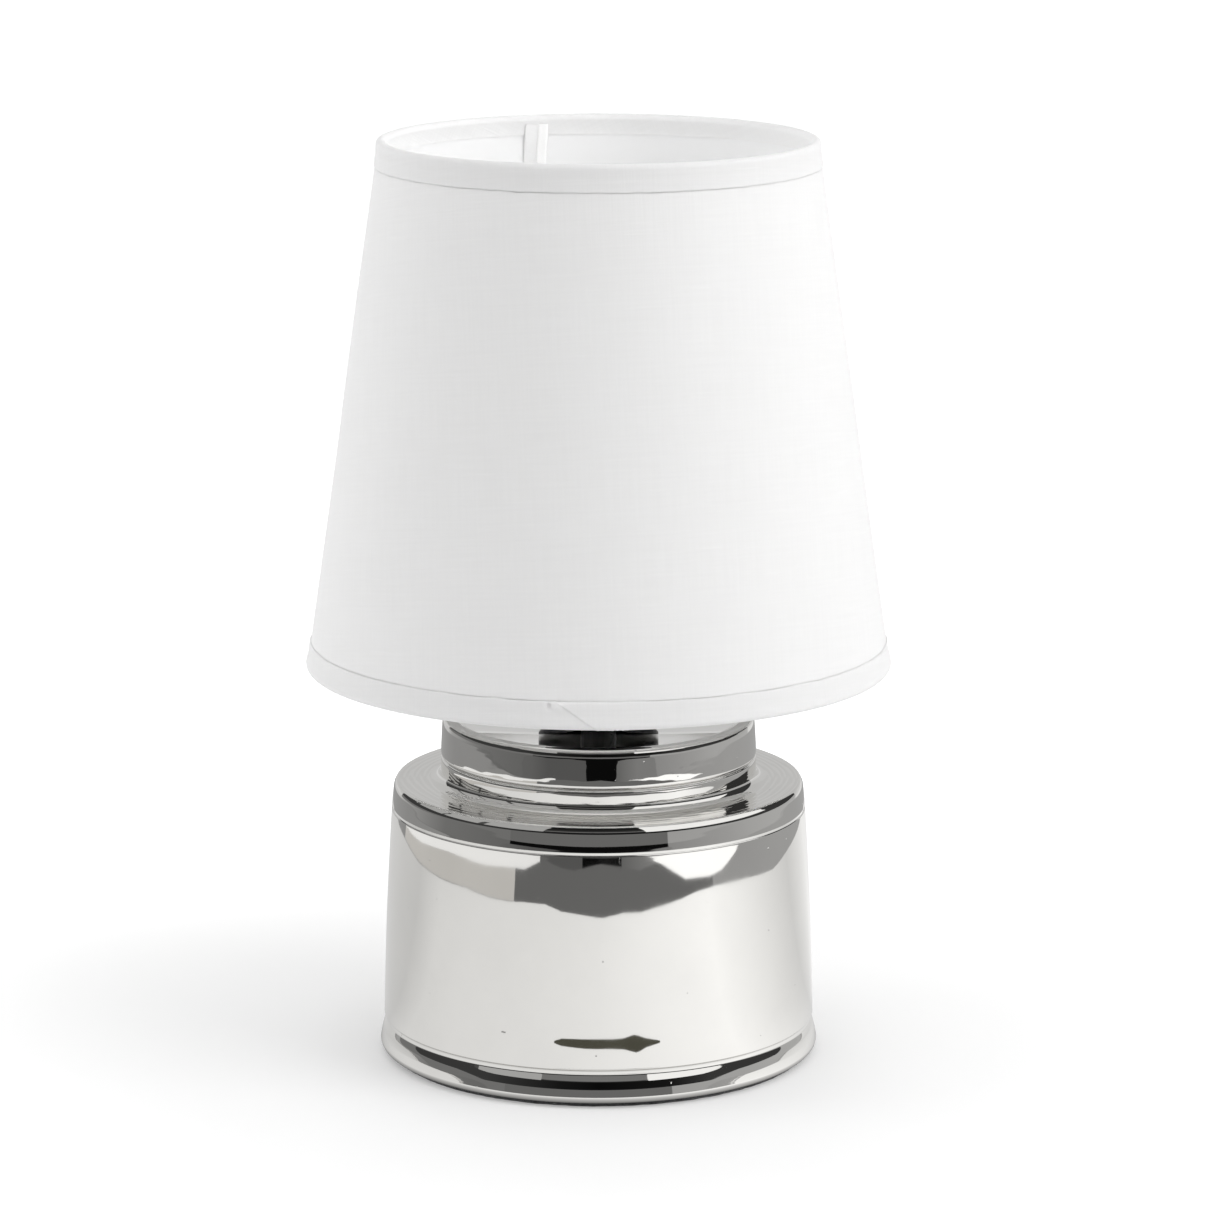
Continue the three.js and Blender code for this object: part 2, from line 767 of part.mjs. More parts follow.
// Strip that covers the shade's seam on the inside, between the two inner hems.
function seamStrip() {
  const start = hemFoldHeight + seatGap;
  const sheet = slantSheet(start, slantLength - start, foldOut - hemSheet, foldOut, wideSides);
  const height = shadeTopHeight - shadeBottomHeight;
  const slab = new THREE.BoxGeometry(shadeBottomRadius, seamWidth, 2 * height);
  slab.translate(shadeBottomRadius, 0, shadeBottomHeight);
  slab.rotateZ(THREE.MathUtils.degToRad(seamAzimuth));
  return common(sheet, closed(slab));
}

// Fitter arm: flat under the fitter ring, then straight down to the bottom wire.
function fitterArm(azimuth) {
  const start = fitterRadius - armWeldLength;
  const high = fitterHeight - seatGap - armRadius;
  const end = lowWire.x - rollRadius - 2 * seatGap;
  const low = lowWire.y + armFootRise;
  const path = new THREE.CurvePath();
  const points = [
    new THREE.Vector3(start, 0, high),
    new THREE.Vector3(start + armFlatLength, 0, high),
    new THREE.Vector3(end, 0, low),
  ];
  path.add(new THREE.CatmullRomCurve3(points, false, "chordal"));
  const section = new THREE.Shape();
  for (let i = 0; i < armSides; i += 1) {
    const angle = (2 * Math.PI * i) / armSides;
    if (i === 0) section.moveTo(armRadius, 0);
    else section.lineTo(armRadius * Math.cos(angle), armRadius * Math.sin(angle));
  }
  const arm = new THREE.ExtrudeGeometry(section, {
    steps: armSteps, bevelEnabled: false, extrudePath: path,
  });
  arm.rotateZ(THREE.MathUtils.degToRad(azimuth));
  return closed(arm);
}

// Materials
function finish(color, roughness, metalness) {
  return () => new THREE.MeshStandardMaterial({ color, roughness, metalness });
}
const mirrorGlaze = finish(0xc9c7c2, 0.06, 1.0);
const feltBlack = finish(0x2a2a2c, 0.95, 0.0);
const fibreBoard = finish(0xa98c66, 0.8, 0.0);
const blackRubber = finish(0x1c1c1d, 0.8, 0.0);
const zincSteel = finish(0xb9bcc0, 0.35, 0.9);
const blackPhenolic = finish(0x1d1d1e, 0.35, 0.0);
const brassSheet = finish(0xc7a45a, 0.3, 0.9);
const nickelSheet = finish(0xc2c0b8, 0.25, 0.9);
const blackGlass = finish(0x17171a, 0.15, 0.0);
const whitePlastic = finish(0xf3f3f1, 0.4, 0.0);
const opalGlass = finish(0xfbfaf5, 0.25, 0.0);
const whiteSteel = finish(0xf2f2f0, 0.4, 0.3);
const whiteFabric = finish(0xf4f3f1, 0.9, 0.0);
const linerFoil = finish(0xf8f8f8, 0.55, 0.0);

function add(group, name, geometry, material) {
  const mesh = new THREE.Mesh(geometry, material());
  mesh.name = name;
  group.add(mesh);
}

function baseGroup() {
  const group = new THREE.Group();
  const washerBase = neckUndersideHeight - seatGap - washerThickness;
  const lockBase = washerBase - seatGap - lockWasherThickness;
  const nutBase = lockBase - seatGap - nutThickness;
  const nippleBottom = nutBase - nippleEndLength;
  const nippleTop = holderHeight + holderCapFloor + nippleEndLength;
  const nippleHole = nippleRadius + seatGap;
  const nippleLength = nippleTop - nippleBottom;
  const board = washer(0, recessRadius - seatGap, rimHeight, boardThickness, wideSides);
  const nipple = washer(nippleBoreRadius, nippleRadius, nippleBottom, nippleLength, smallSides);
  const lockWasher = washer(nippleHole, lockWasherRadius, lockBase, lockWasherThickness, smallSides);
  const innerWasher = washer(nippleHole, washerRadius, washerBase, washerThickness, smallSides);
  const cap = neckCap();
  cap.translate(0, 0, capBaseHeight);
  add(group, "felt_pad", washer(0, footRadius - padInset, 0, padThickness, wideSides), feltBlack);
  add(group, "base_board", board, fibreBoard);
  add(group, "base_shell", baseShell(), mirrorGlaze);
  add(group, "cable_gland", cableGland(), blackRubber);
  add(group, "nipple", nipple, zincSteel);
  add(group, "nipple_nut", hexNut(nutBase), zincSteel);
  add(group, "lock_washer", lockWasher, zincSteel);
  add(group, "inner_washer", innerWasher, zincSteel);
  add(group, "neck_cap", cap, blackPhenolic);
  return group;
}

function holderGroup() {
  const group = new THREE.Group();
  group.position.z = holderHeight;
  add(group, "holder_cap", holderCap(), blackPhenolic);
  add(group, "grub_screw", grubScrew(), zincSteel);
  add(group, "holder_core", holderCore(), blackPhenolic);
  add(group, "terminal_screw_left", terminalScrew(-1), brassSheet);
  add(group, "terminal_screw_right", terminalScrew(1), brassSheet);
  add(group, "screw_shell", screwShell(), brassSheet);
  add(group, "centre_contact", centreContact(), brassSheet);
  add(group, "holder_skirt", holderSkirt(), blackPhenolic);
  return group;
}

function bulbGroup() {
  const group = new THREE.Group();
  group.position.z = bulbHeight;
  const boardBase = collarTop + seatGap;
  add(group, "bulb_eyelet", bulbEyelet(), nickelSheet);
  add(group, "bulb_insulator", bulbInsulator(), blackGlass);
  add(group, "bulb_cap", bulbCap(), nickelSheet);
  add(group, "bulb_collar", bulbCollar(), whitePlastic);
  add(group, "led_board", washer(0, ledBoardRadius, boardBase, ledBoardThickness, ringSides), whitePlastic);
  add(group, "bulb_globe", bulbGlobe(), opalGlass);
  return group;
}

function shadeGroup() {
  const group = new THREE.Group();
  const fitterHole = skirtThreadRadius + threadClearance;
  const sheetEnd = slantLength - sheetStart;
  const ring = washer(fitterHole, fitterRadius, fitterHeight, fitterThickness, ringSides);
  add(group, "fitter_ring", ring, whiteSteel);
  for (let i = 0; i < armCount; i += 1) {
    add(group, `fitter_arm_${i + 1}`, fitterArm(firstArmAzimuth + (360 * i) / armCount), whiteSteel);
  }
  add(group, "bottom_wire", wire(lowWire), whiteSteel);
  add(group, "top_wire", wire(highWire), whiteSteel);
  add(group, "shade_liner", slantSheet(sheetStart, sheetEnd, -linerOut, linerOut, wideSides), linerFoil);
  add(group, "shade_fabric", slantSheet(sheetStart, sheetEnd, fabricIn, fabricIn + fabricSheet, wideSides),
    whiteFabric);
  add(group, "seam_strip", seamStrip(), whiteFabric);
  add(group, "bottom_hem", hem(0, 1), whiteFabric);
  add(group, "top_hem", hem(slantLength, -1), whiteFabric);
  return group;
}

function shadeRingGroup() {
  const group = new THREE.Group();
  group.position.z = shadeRingHeightAbove;
  add(group, "shade_ring", shadeRing(), blackPhenolic);
  return group;
}

const lamp = new THREE.Group();
lamp.add(baseGroup(), holderGroup(), bulbGroup(), shadeGroup(), shadeRingGroup());

export default lamp;
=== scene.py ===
"""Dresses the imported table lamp: metallised ceramic base, holder, bulb and fabric shade. Metres, Z up."""

import json
from math import asin, atan, atan2, cos, degrees, exp, hypot, pi, radians, sin, sqrt, tau

import bmesh
import bpy
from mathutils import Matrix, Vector, noise
from mathutils.geometry import interpolate_bezier


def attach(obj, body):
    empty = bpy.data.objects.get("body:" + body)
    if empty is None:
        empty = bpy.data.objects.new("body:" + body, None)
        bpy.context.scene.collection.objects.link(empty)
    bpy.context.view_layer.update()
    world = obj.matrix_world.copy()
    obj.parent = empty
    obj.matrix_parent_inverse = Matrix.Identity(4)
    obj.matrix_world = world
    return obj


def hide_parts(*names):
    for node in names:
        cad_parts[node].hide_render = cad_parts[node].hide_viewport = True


bl_info = {
    "name": "Table Lamp Dresser",
    "version": (1, 0, 0),
    "blender": (4, 5, 0),
    "location": "View3D > Sidebar > Lamp",
    "description": "Builds the fine pieces, finishes and studio of a small table lamp",
    "category": "Object",
}

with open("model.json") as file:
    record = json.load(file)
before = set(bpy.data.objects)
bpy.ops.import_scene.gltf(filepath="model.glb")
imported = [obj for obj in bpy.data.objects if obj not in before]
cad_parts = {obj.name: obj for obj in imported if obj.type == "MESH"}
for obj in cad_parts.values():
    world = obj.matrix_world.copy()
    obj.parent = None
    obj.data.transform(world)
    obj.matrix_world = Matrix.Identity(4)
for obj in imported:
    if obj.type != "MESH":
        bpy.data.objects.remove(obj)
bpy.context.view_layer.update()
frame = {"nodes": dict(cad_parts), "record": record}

# Millimetres to metres. The profiles below are in millimetres, as the part's source is.
MM = 0.001

# Base. The main sizes are the part's own, and the edges are finer
SEAT_GAP = 0.3
FOOT_RADIUS = 64.25
FOOT_EDGE = 2.0
BODY_RADIUS = 63.1
BODY_START = 11.3
BODY_SWELL = 0.35
CREASE_RADIUS = 60.45
CREASE_HEIGHT = 73.2
SHOULDER_HEIGHT = 81.3
SHOULDER_EDGE = 0.85
SHOULDER_TILT = 32.0
COVE_RADIUS = 3.0
NECK_RADIUS = 46.0
NECK_DRAFT = 0.5
NECK_TOP_HEIGHT = 100.0
NECK_EDGE = 0.99
NECK_TILT = 17.0
NECK_RIM_WIDTH = 4.4
NECK_DISH = 0.6
NECK_DISH_SLOPE = 1.2
NECK_HOLE_RADIUS = 5.6
WALL = 4.4
RIM_HEIGHT = 1.3
LEDGE_HEIGHT = 4.1
LEDGE_THICKNESS = 3.0
LEDGE_WIDTH = 2.4
RECESS_RADIUS = 59.45
PAD_RADIUS = 61.65
PAD_FUZZ = 0.25
PAD_EDGE = 0.4
PAD_SHEET = 1.0
GLAND_HEIGHT = 22.0
GLAND_HOLE_RADIUS = 5.1
GLAND_BORE_RADIUS = 3.2
GLAND_CLIP_RADIUS = 5.7
GLAND_CLIP = 1.4
GLAND_LIP_RADIUS = 6.6

# Lines of the glaze with bends that the part leaves out, as (radius, height)
FOOT_SIDE = [(64.25, 3.3), (63.85, 5.4), (63.74, 5.9), (63.35, 7.4), (63.16, 8.0), (62.55, 9.6)]
FOOT_GROOVE = [(62.55, 9.6), (62.5, 10.2), (62.6, 10.8), (62.85, 11.05), (63.1, 11.3), (63.1, 11.6)]
CREASE_LINE = [(60.49, 72.6), (60.45, 73.0), (60.32, 73.2), (60.33, 73.45), (60.42, 73.9)]
SHOULDER_BAND = [
    (60.42, 73.9), (60.265, 75.6), (60.05, 77.4), (59.819, 79.19), (59.734, 79.6), (59.61, 80.0),
    (59.42, 80.45), (59.171, 80.9),
]
NECK_WALL = [
    (46.0, 84.3), (46.0, 85.5), (46.0, 87.4), (45.92, 87.95), (45.66, 88.25), (45.6, 88.4), (45.66, 88.55),
    (45.91, 88.95), (45.975, 89.4), (45.973, 90.2), (45.936, 91.4), (45.828, 93.5), (45.721, 95.5),
    (45.664, 96.5), (45.6, 97.6), (45.552, 98.05), (45.478, 98.5), (45.389, 98.9), (45.278, 99.3),
]

# Holder, bulb and fitter. A BASE is the height a piece starts at, and its other heights are above that.
# Those of the collar are above BULB_BASE
CAP_RADIUS = 17.0
CAP_HEIGHT = 3.5
CAP_SHEET = 0.8
CAP_DOME_START = 16.4
CAP_DOME_END = 10.5
HOLDER_BASE = 103.5
HOLDER_HEIGHT = 55.0
HOLDER_BORE_RADIUS = 11.6
CUP_HEIGHT = 15.2
CUP_RADIUS = 13.5
CUP_FOOT_RADIUS = 9.9
CUP_BORE_RADIUS = 11.4
CUP_FLOOR = 6.0
GRUB_HEIGHT = 3.4
GRUB_HOLE_RADIUS = 1.7
NIPPLE_HOLE_RADIUS = 5.3
SKIRT_START = 6.2
SKIRT_RADIUS = 15.6
SKIRT_EDGE = 0.3
SKIRT_FLOOR = 17.8
FLANGE_START = 28.0
FLANGE_END = 30.0
FLANGE_RADIUS = 17.0
THREAD_RADIUS = 13.8
THREAD_PITCH = 2.0
THREAD_DEPTH = 0.55
THREAD_START = 31.0
RING_BASE = 135.6
RING_HEIGHT = 8.0
RING_RADIUS = 21.0
RING_FLANGE = 3.2
RING_NECK_RADIUS = 17.4
RING_RIBS = 30
RING_RIB_DEPTH = 0.7
BULB_BASE = 127.8
BULB_LENGTH = 80.0
GLOBE_RADIUS = 22.5
GLOBE_WALL = 1.0
COLLAR_BASE = 22.6
COLLAR_FOOT_RADIUS = 8.6
COLLAR_WAIST = 31.0
COLLAR_WAIST_RADIUS = 10.0
COLLAR_FLARE = 9.6
COLLAR_WALL = 1.6
FITTER_BASE = 133.8
FITTER_RADIUS = 21.5
FITTER_SHEET = 1.5
FITTER_EDGE = 0.3
ARM_RADIUS = 1.0

# Shade. The main sizes are the part's own, and the tape is thinner
SHADE_BOTTOM = 115.1
SHADE_TOP = 268.5
SHADE_BOTTOM_RADIUS = 85.0
SHADE_TOP_RADIUS = 63.5
ROLL_RADIUS = 1.45
FABRIC_SHEET = 0.4
LINER_SHEET = 0.5
LAYER_GAP = 0.2
WIRE_RADIUS = 0.85
HEM = 6.6
HEM_FOLD = 4.6
TAPE = 0.3
SEAM_WIDTH = 7.0
SEAM_AZIMUTH = 107.5
TUCK_AZIMUTH = 263.5

# The camera is in metres and degrees
CAMERA_PLACE = (0.0, -1.425, 0.4357)
CAMERA_DOWN = 12.068
CAMERA_LENS = 148.1
CAMERA_SENSOR = 36.0
CAMERA_SHIFT = 0.0094

# Lamps, in metres
LIGHT_AIM = (0.0, 0.0, 0.17)
INNER_LAMP_PLACE = (0.0, 0.0, 0.245)
INNER_LAMP_SIZE = 0.03

# Square lamps: degrees to the right of the front, then distance, height and size in metres
KEY_LAMP = (60.0, 1.05, 0.7, 0.8)
FILL_LAMP = (-90.0, 1.3, 0.3, 0.6)
BACK_LAMP = (-168.0, 1.0, 0.42, 0.7)
TOP_LAMP = (0.0, 0.0, 1.75, 1.1)


# Shader maths


class Term:
    """A socket in an expression. Arithmetic on it adds Math nodes."""

    def __init__(self, graph, socket):
        self.graph = graph
        self.socket = socket

    def _math(self, operation, first, second):
        return self.graph.node("ShaderNodeMath", {"operation": operation}, {0: first, 1: second})

    def __add__(self, other):
        return self._math("ADD", self, other)

    def __radd__(self, other):
        return self._math("ADD", other, self)

    def __sub__(self, other):
        return self._math("SUBTRACT", self, other)

    def __rsub__(self, other):
        return self._math("SUBTRACT", other, self)

    def __mul__(self, other):
        return self._math("MULTIPLY", self, other)

    def __rmul__(self, other):
        return self._math("MULTIPLY", other, self)

    def ramp(self, low, high, new_low=0.0, new_high=1.0):
        """Smooth step from new_low at low to new_high at high."""
        settings = {"interpolation_type": "SMOOTHSTEP"}
        values = {"Value": self, "From Min": low, "From Max": high, "To Min": new_low, "To Max": new_high}
        return self.graph.node("ShaderNodeMapRange", settings, values)


# The frame brings plain materials under the slots' own names, so the finishes have another name
FINISH_NAME = "finish_"


class Graph:
    """A tree of shader nodes."""

    def __init__(self, tree):
        self.tree = tree
        tree.nodes.clear()

    def feed(self, socket, value):
        if isinstance(value, Term):
            self.tree.links.new(value.socket, socket)
        else:
            socket.default_value = value

    def end(self, kind, surface):
        """Adds the output node."""
        self.feed(self.tree.nodes.new(kind).inputs["Surface"], surface)

    def node(self, kind, settings, values, output=0):
        """Adds a node: its settings first, then the values or links of its sockets."""
        made = self.tree.nodes.new(kind)
        for name, value in settings.items():
            setattr(made, name, value)
        for name, value in values.items():
            self.feed(made.inputs[name], value)
        return Term(self, made.outputs[output])

    def seen(self):
        """1 for what camera, mirror and glass see, 0 for light that falls on something."""
        rays = ("Is Camera Ray", "Is Glossy Ray", "Is Transmission Ray")
        camera, glossy, clear = [self.node("ShaderNodeLightPath", {}, {}, ray) for ray in rays]
        return camera + glossy + clear


class Finish(Graph):
    """A material with one Principled shader, and the nodes that feed it."""

    def __init__(self, name, **constants):
        self.material = bpy.data.materials.new(FINISH_NAME + name)
        self.material.use_nodes = True
        super().__init__(self.material.node_tree)
        self.shader = self.tree.nodes.new("ShaderNodeBsdfPrincipled")
        self.end("ShaderNodeOutputMaterial", Term(self, self.shader.outputs[0]))
        self.set(**constants)

    def set(self, **values):
        """Sets or links the shader's sockets, named with underscores for spaces."""
        for name, value in values.items():
            self.feed(self.shader.inputs[name.replace("_", " ")], value)

    def place(self):
        """Where the shaded point is on its piece, in metres."""
        return self.node("ShaderNodeTexCoord", {}, {}, "Object")

    def cloth_place(self):
        """Where the shaded point is on the flat cut of the cloth, in metres."""
        return self.node("ShaderNodeUVMap", {"uv_map": CLOTH_MAP}, {})

    def stretched(self, place, scale):
        return self.node("ShaderNodeVectorMath", {"operation": "MULTIPLY"}, {0: place, 1: scale})

    def noise(self, place, scale, detail=3.0, roughness=0.5, stretch=None):
        """Noise from 0 to 1, finer along the axes that stretch is larger on."""
        if stretch:
            place = self.stretched(place, stretch)
        values = {"Vector": place, "Scale": scale, "Detail": detail, "Roughness": roughness}
        return self.node("ShaderNodeTexNoise", {"noise_dimensions": "3D"}, values)

    def spots(self, place, scale, reach):
        """1 in small spots of that reach, 0 elsewhere."""
        cells = self.node("ShaderNodeTexVoronoi", {"feature": "F1"}, {"Vector": place, "Scale": scale})
        return cells.ramp(reach * 0.4, reach, 1.0, 0.0)

    def blend(self, factor, first, second):
        """Colour between two colours."""
        return self.node("ShaderNodeMix", {"data_type": "RGBA"}, {0: factor, 6: first, 7: second}, 2)

    def shades(self, factor, colour, first, second):
        """A colour between two brightnesses of itself."""
        return self.blend(factor, tint(colour, first), tint(colour, second))

    def bump(self, height, distance, strength=1.0, normal=None):
        values = {"Height": height, "Distance": distance, "Strength": strength}
        if normal is not None:
            values["Normal"] = normal
        return self.node("ShaderNodeBump", {}, values)


def tint(colour, factor):
    """A colour made lighter or darker, with full alpha."""
    return (*[min(1.0, part * factor) for part in colour[:3]], 1.0)


CLOTH_MAP = "ClothCut"
CARD_LIGHT = "Light"

# Thin white sheets let some of the light through
LET_THROUGH = {"Subsurface_Weight": 1.0, "Subsurface_Radius": (1.0, 1.0, 1.0), "Subsurface_Scale": 0.0006}


def glaze_finish(colours):
    """Metallised mirror glaze: slow unevenness, faint haze, pinholes and a few specks."""
    finish = Finish("mirror_glaze", Metallic=1.0)
    place = finish.place()
    haze = finish.noise(place, 38.0, 4.0, 0.6)
    pools = finish.noise(place, 9.0, 2.0)
    pinholes = finish.spots(place, 130.0, 0.045)
    specks = finish.spots(finish.stretched(place, (1.0, 1.0, 1.7)), 60.0, 0.028)
    tone = (haze * 0.5 + pools * 0.5).ramp(0.35, 0.68)
    clean = finish.shades(tone, colours.glaze, 0.965, 1.02)
    marked = finish.blend(specks * 0.55, clean, tint(colours.glaze, 0.35))
    orange_peel = finish.noise(place, 420.0, 1.0)
    normal = finish.bump(orange_peel, 0.0000006)
    normal = finish.bump(1.0 - pinholes, 0.00006, normal=normal)
    roughness = haze.ramp(0.4, 0.7, 0.022, 0.04) + pinholes * 0.25
    finish.set(Base_Color=marked, Roughness=roughness, Normal=normal)
    return finish.material


def cloth_finish(name, colour, thread, slub, sheen):
    """Plain weave along the flat cut's grain: threads of uneven thickness with a few slubs."""
    finish = Finish(name, Sheen_Weight=sheen, Sheen_Roughness=0.4, Specular_IOR_Level=0.25, **LET_THROUGH)
    place = finish.cloth_place()
    fine = 0.6 / thread
    coarse = fine * 0.03
    warp = finish.noise(place, 1.0, 2.0, stretch=(fine, coarse, 1.0))
    weft = finish.noise(place, 1.0, 2.0, stretch=(coarse, fine, 1.0))
    slubs = finish.noise(place, 1.0, 1.0, stretch=(coarse * 1.4, fine * 0.45, 1.0))
    thick = slubs.ramp(0.66, 0.8)
    clouds = finish.noise(place, 22.0, 3.0)
    threads = warp * 0.5 + weft * 0.5
    tone = (threads * 0.7 + clouds * 0.3).ramp(0.35, 0.65)
    plain = finish.shades(tone, colour, 0.982, 1.008)
    slubbed = finish.blend(thick * slub, plain, tint(colour, 1.03))
    height = threads + thick * slub
    finish.set(Base_Color=slubbed, Roughness=tone.ramp(0.0, 1.0, 0.93, 0.82))
    finish.set(Normal=finish.bump(height, 0.00009, 0.6))
    return finish.material


def liner_finish(colours):
    """Smooth white plastic sheet with a slight mottle."""
    finish = Finish("liner_sheet", Specular_IOR_Level=0.4, **LET_THROUGH)
    place = finish.place()
    mottle = finish.noise(place, 60.0, 3.0)
    scuffs = finish.noise(place, 90.0, 2.0, stretch=(1.0, 1.0, 6.0))
    colour = finish.shades(mottle.ramp(0.35, 0.65), colours.liner, 0.975, 1.0)
    finish.set(Base_Color=colour, Roughness=scuffs.ramp(0.3, 0.75, 0.38, 0.55))
    finish.set(Normal=finish.bump(mottle, 0.0001, 0.4))
    return finish.material


def plastic_finish(name, colour, roughness, grain):
    """Moulded plastic: fine grain, slow colour drift and small handling scuffs."""
    finish = Finish(name)
    place = finish.place()
    drift = finish.noise(place, 45.0, 2.0)
    pebble = finish.noise(place, 1500.0, 2.0)
    scuffs = finish.noise(place, 160.0, 2.0, stretch=(1.0, 5.0, 2.0))
    body = finish.shades(drift.ramp(0.3, 0.7), colour, 0.96, 1.02)
    finish.set(Base_Color=body, Roughness=scuffs.ramp(0.45, 0.8, roughness, roughness + 0.15))
    finish.set(Normal=finish.bump(pebble, 0.00002 * grain))
    return finish.material


def metal_finish(name, colour, roughness, brushed):
    """Plated or rolled metal: drawn streaks, dull patches and light tarnish."""
    finish = Finish(name, Metallic=1.0)
    place = finish.place()
    streaks = finish.noise(place, 500.0, 2.0, stretch=(1.0, 1.0, brushed))
    tarnish = finish.noise(place, 130.0, 3.0)
    body = finish.shades(tarnish.ramp(0.45, 0.75), colour, 1.02, 0.8)
    dull = tarnish.ramp(0.4, 0.8, roughness, roughness + 0.18)
    finish.set(Base_Color=body, Roughness=dull + (streaks - 0.5) * 0.12)
    finish.set(Normal=finish.bump(streaks, 0.00001))
    return finish.material


def enamel_finish(colours):
    """White enamel on steel wire, with thin places that show grey."""
    finish = Finish("white_steel", Coat_Roughness=0.2)
    place = finish.place()
    thin = finish.noise(place, 220.0, 3.0).ramp(0.62, 0.78)
    flow = finish.noise(place, 700.0, 2.0)
    body = finish.shades(thin * 0.5, colours.enamel, 1.0, 0.72)
    finish.set(Base_Color=body, Roughness=0.32 + thin * 0.2, Coat_Weight=0.4 - thin * 0.3)
    finish.set(Normal=finish.bump(flow, 0.00004))
    return finish.material


def felt_finish():
    """Pressed black felt: short fibres lying every way."""
    finish = Finish("felt_black", Sheen_Weight=0.5, Sheen_Roughness=0.6, Specular_IOR_Level=0.1)
    place = finish.place()
    fibres = finish.noise(place, 900.0, 4.0, 0.7, (1.0, 2.6, 1.0))
    across = finish.noise(place, 1100.0, 4.0, 0.7, (2.6, 1.0, 1.0))
    fluff = (fibres * 0.5 + across * 0.5).ramp(0.35, 0.7)
    finish.set(Base_Color=finish.blend(fluff, (0.016, 0.016, 0.018, 1.0), (0.075, 0.075, 0.08, 1.0)))
    finish.set(Roughness=fluff.ramp(0.0, 1.0, 1.0, 0.86), Normal=finish.bump(fluff, 0.0003))
    return finish.material


def board_finish():
    """Hard fibre board: brown pulp with darker flecks."""
    finish = Finish("fibre_board", Specular_IOR_Level=0.3)
    place = finish.place()
    pulp = finish.noise(place, 160.0, 5.0, 0.7)
    flecks = finish.noise(place, 420.0, 2.0, stretch=(1.0, 3.0, 1.0)).ramp(0.6, 0.75)
    body = finish.blend(pulp.ramp(0.3, 0.7), (0.36, 0.245, 0.14, 1.0), (0.5, 0.36, 0.22, 1.0))
    finish.set(Base_Color=finish.blend(flecks * 0.6, body, (0.16, 0.1, 0.06, 1.0)))
    finish.set(Roughness=pulp.ramp(0.3, 0.7, 0.72, 0.9), Normal=finish.bump(pulp, 0.0001))
    return finish.material


def rubber_finish():
    """Black moulded rubber with a dull bloom."""
    finish = Finish("black_rubber", Specular_IOR_Level=0.35)
    place = finish.place()
    bloom = finish.noise(place, 260.0, 4.0, 0.6)
    pebble = finish.noise(place, 2200.0, 2.0)
    body = finish.blend(bloom.ramp(0.4, 0.75), (0.014, 0.014, 0.015, 1.0), (0.05, 0.05, 0.05, 1.0))
    roughness = bloom.ramp(0.3, 0.8, 0.6, 0.85)
    finish.set(Base_Color=body, Roughness=roughness, Normal=finish.bump(pebble, 0.00005))
    return finish.material


def opal_finish(colours):
    """Opal globe: milky, satin outside with a soft inner glow of scattered light."""
    finish = Finish("opal_globe", Subsurface_Weight=0.35, Subsurface_Scale=0.004, Coat_Weight=0.3)
    place = finish.place()
    milk = finish.noise(place, 70.0, 3.0)
    satin = finish.noise(place, 1800.0, 2.0)
    body = finish.shades(milk.ramp(0.3, 0.7), colours.opal, 0.97, 1.0)
    finish.set(Base_Color=body, Roughness=milk.ramp(0.3, 0.7, 0.24, 0.34))
    finish.set(Normal=finish.bump(satin, 0.00001))
    return finish.material


def card_finish():
    """Glowing card that shows the colour of its corners."""
    finish = Finish("studio_card", Roughness=1.0, Specular_IOR_Level=0.0, Emission_Strength=1.0)
    light = finish.node("ShaderNodeAttribute", {"attribute_name": CARD_LIGHT}, {}, "Color")
    finish.set(Base_Color=(0.0, 0.0, 0.0, 1.0), Emission_Color=light)
    return finish.material


def finish_of(slot):
    """The material of the cards or of a slot of the record, made once."""
    known = bpy.data.materials.get(FINISH_NAME + slot)
    if known:
        return known
    colours = bpy.context.scene.lamp_colours
    makers = {
        "mirror_glaze": lambda: glaze_finish(colours),
        "felt_black": felt_finish,
        "fibre_board": board_finish,
        "black_rubber": rubber_finish,
        "zinc_steel": lambda: metal_finish(slot, (0.62, 0.63, 0.64), 0.3, 5.0),
        "black_phenolic": lambda: plastic_finish(slot, colours.phenolic, 0.42, 0.6),
        "brass": lambda: metal_finish(slot, (0.78, 0.58, 0.27), 0.26, 3.0),
        "nickel": lambda: metal_finish(slot, (0.68, 0.66, 0.62), 0.22, 3.0),
        "black_insulator": lambda: plastic_finish(slot, (0.02, 0.02, 0.022), 0.14, 0.2),
        "white_plastic": lambda: plastic_finish(slot, colours.plastic, 0.42, 1.0),
        "opal_globe": lambda: opal_finish(colours),
        "white_steel": lambda: enamel_finish(colours),
        "liner_sheet": lambda: liner_finish(colours),
        "white_fabric": lambda: cloth_finish(slot, colours.fabric, 0.00042, 0.5, 0.08),
        "studio_card": card_finish,
    }
    return makers[slot]()


# Mesh helpers


def eased(share):
    """0 to 1, slow at both ends."""
    share = max(0.0, min(1.0, share))
    return share * share * (3 - 2 * share)


def turned_point(azimuth, radius, height):
    """Place in metres from an azimuth in radians and a radius and height in millimetres."""
    return radius * MM * cos(azimuth), radius * MM * sin(azimuth), height * MM


def spread(start, end, steps):
    """Numbers from start to end in even steps."""
    return [start + (end - start) * i / steps for i in range(steps + 1)]


def arc(centre_radius, centre_height, radius, start, end, steps):
    """Points of an arc in a profile. Angles are degrees from the outward direction."""
    points = []
    for angle in map(radians, spread(start, end, steps)):
        points.append((centre_radius + radius * cos(angle), centre_height + radius * sin(angle)))
    return points


def bridge(bm, low, high):
    """Faces between two rings. A ring of one vertex lies on the axis."""
    count = max(len(low), len(high))
    if count == 1:
        return
    for i in range(count):
        after = (i + 1) % count
        if len(low) == 1:
            bm.faces.new((low[0], high[after], high[i]))
        elif len(high) == 1:
            bm.faces.new((low[i], low[after], high[0]))
        else:
            bm.faces.new((low[i], low[after], high[after], high[i]))


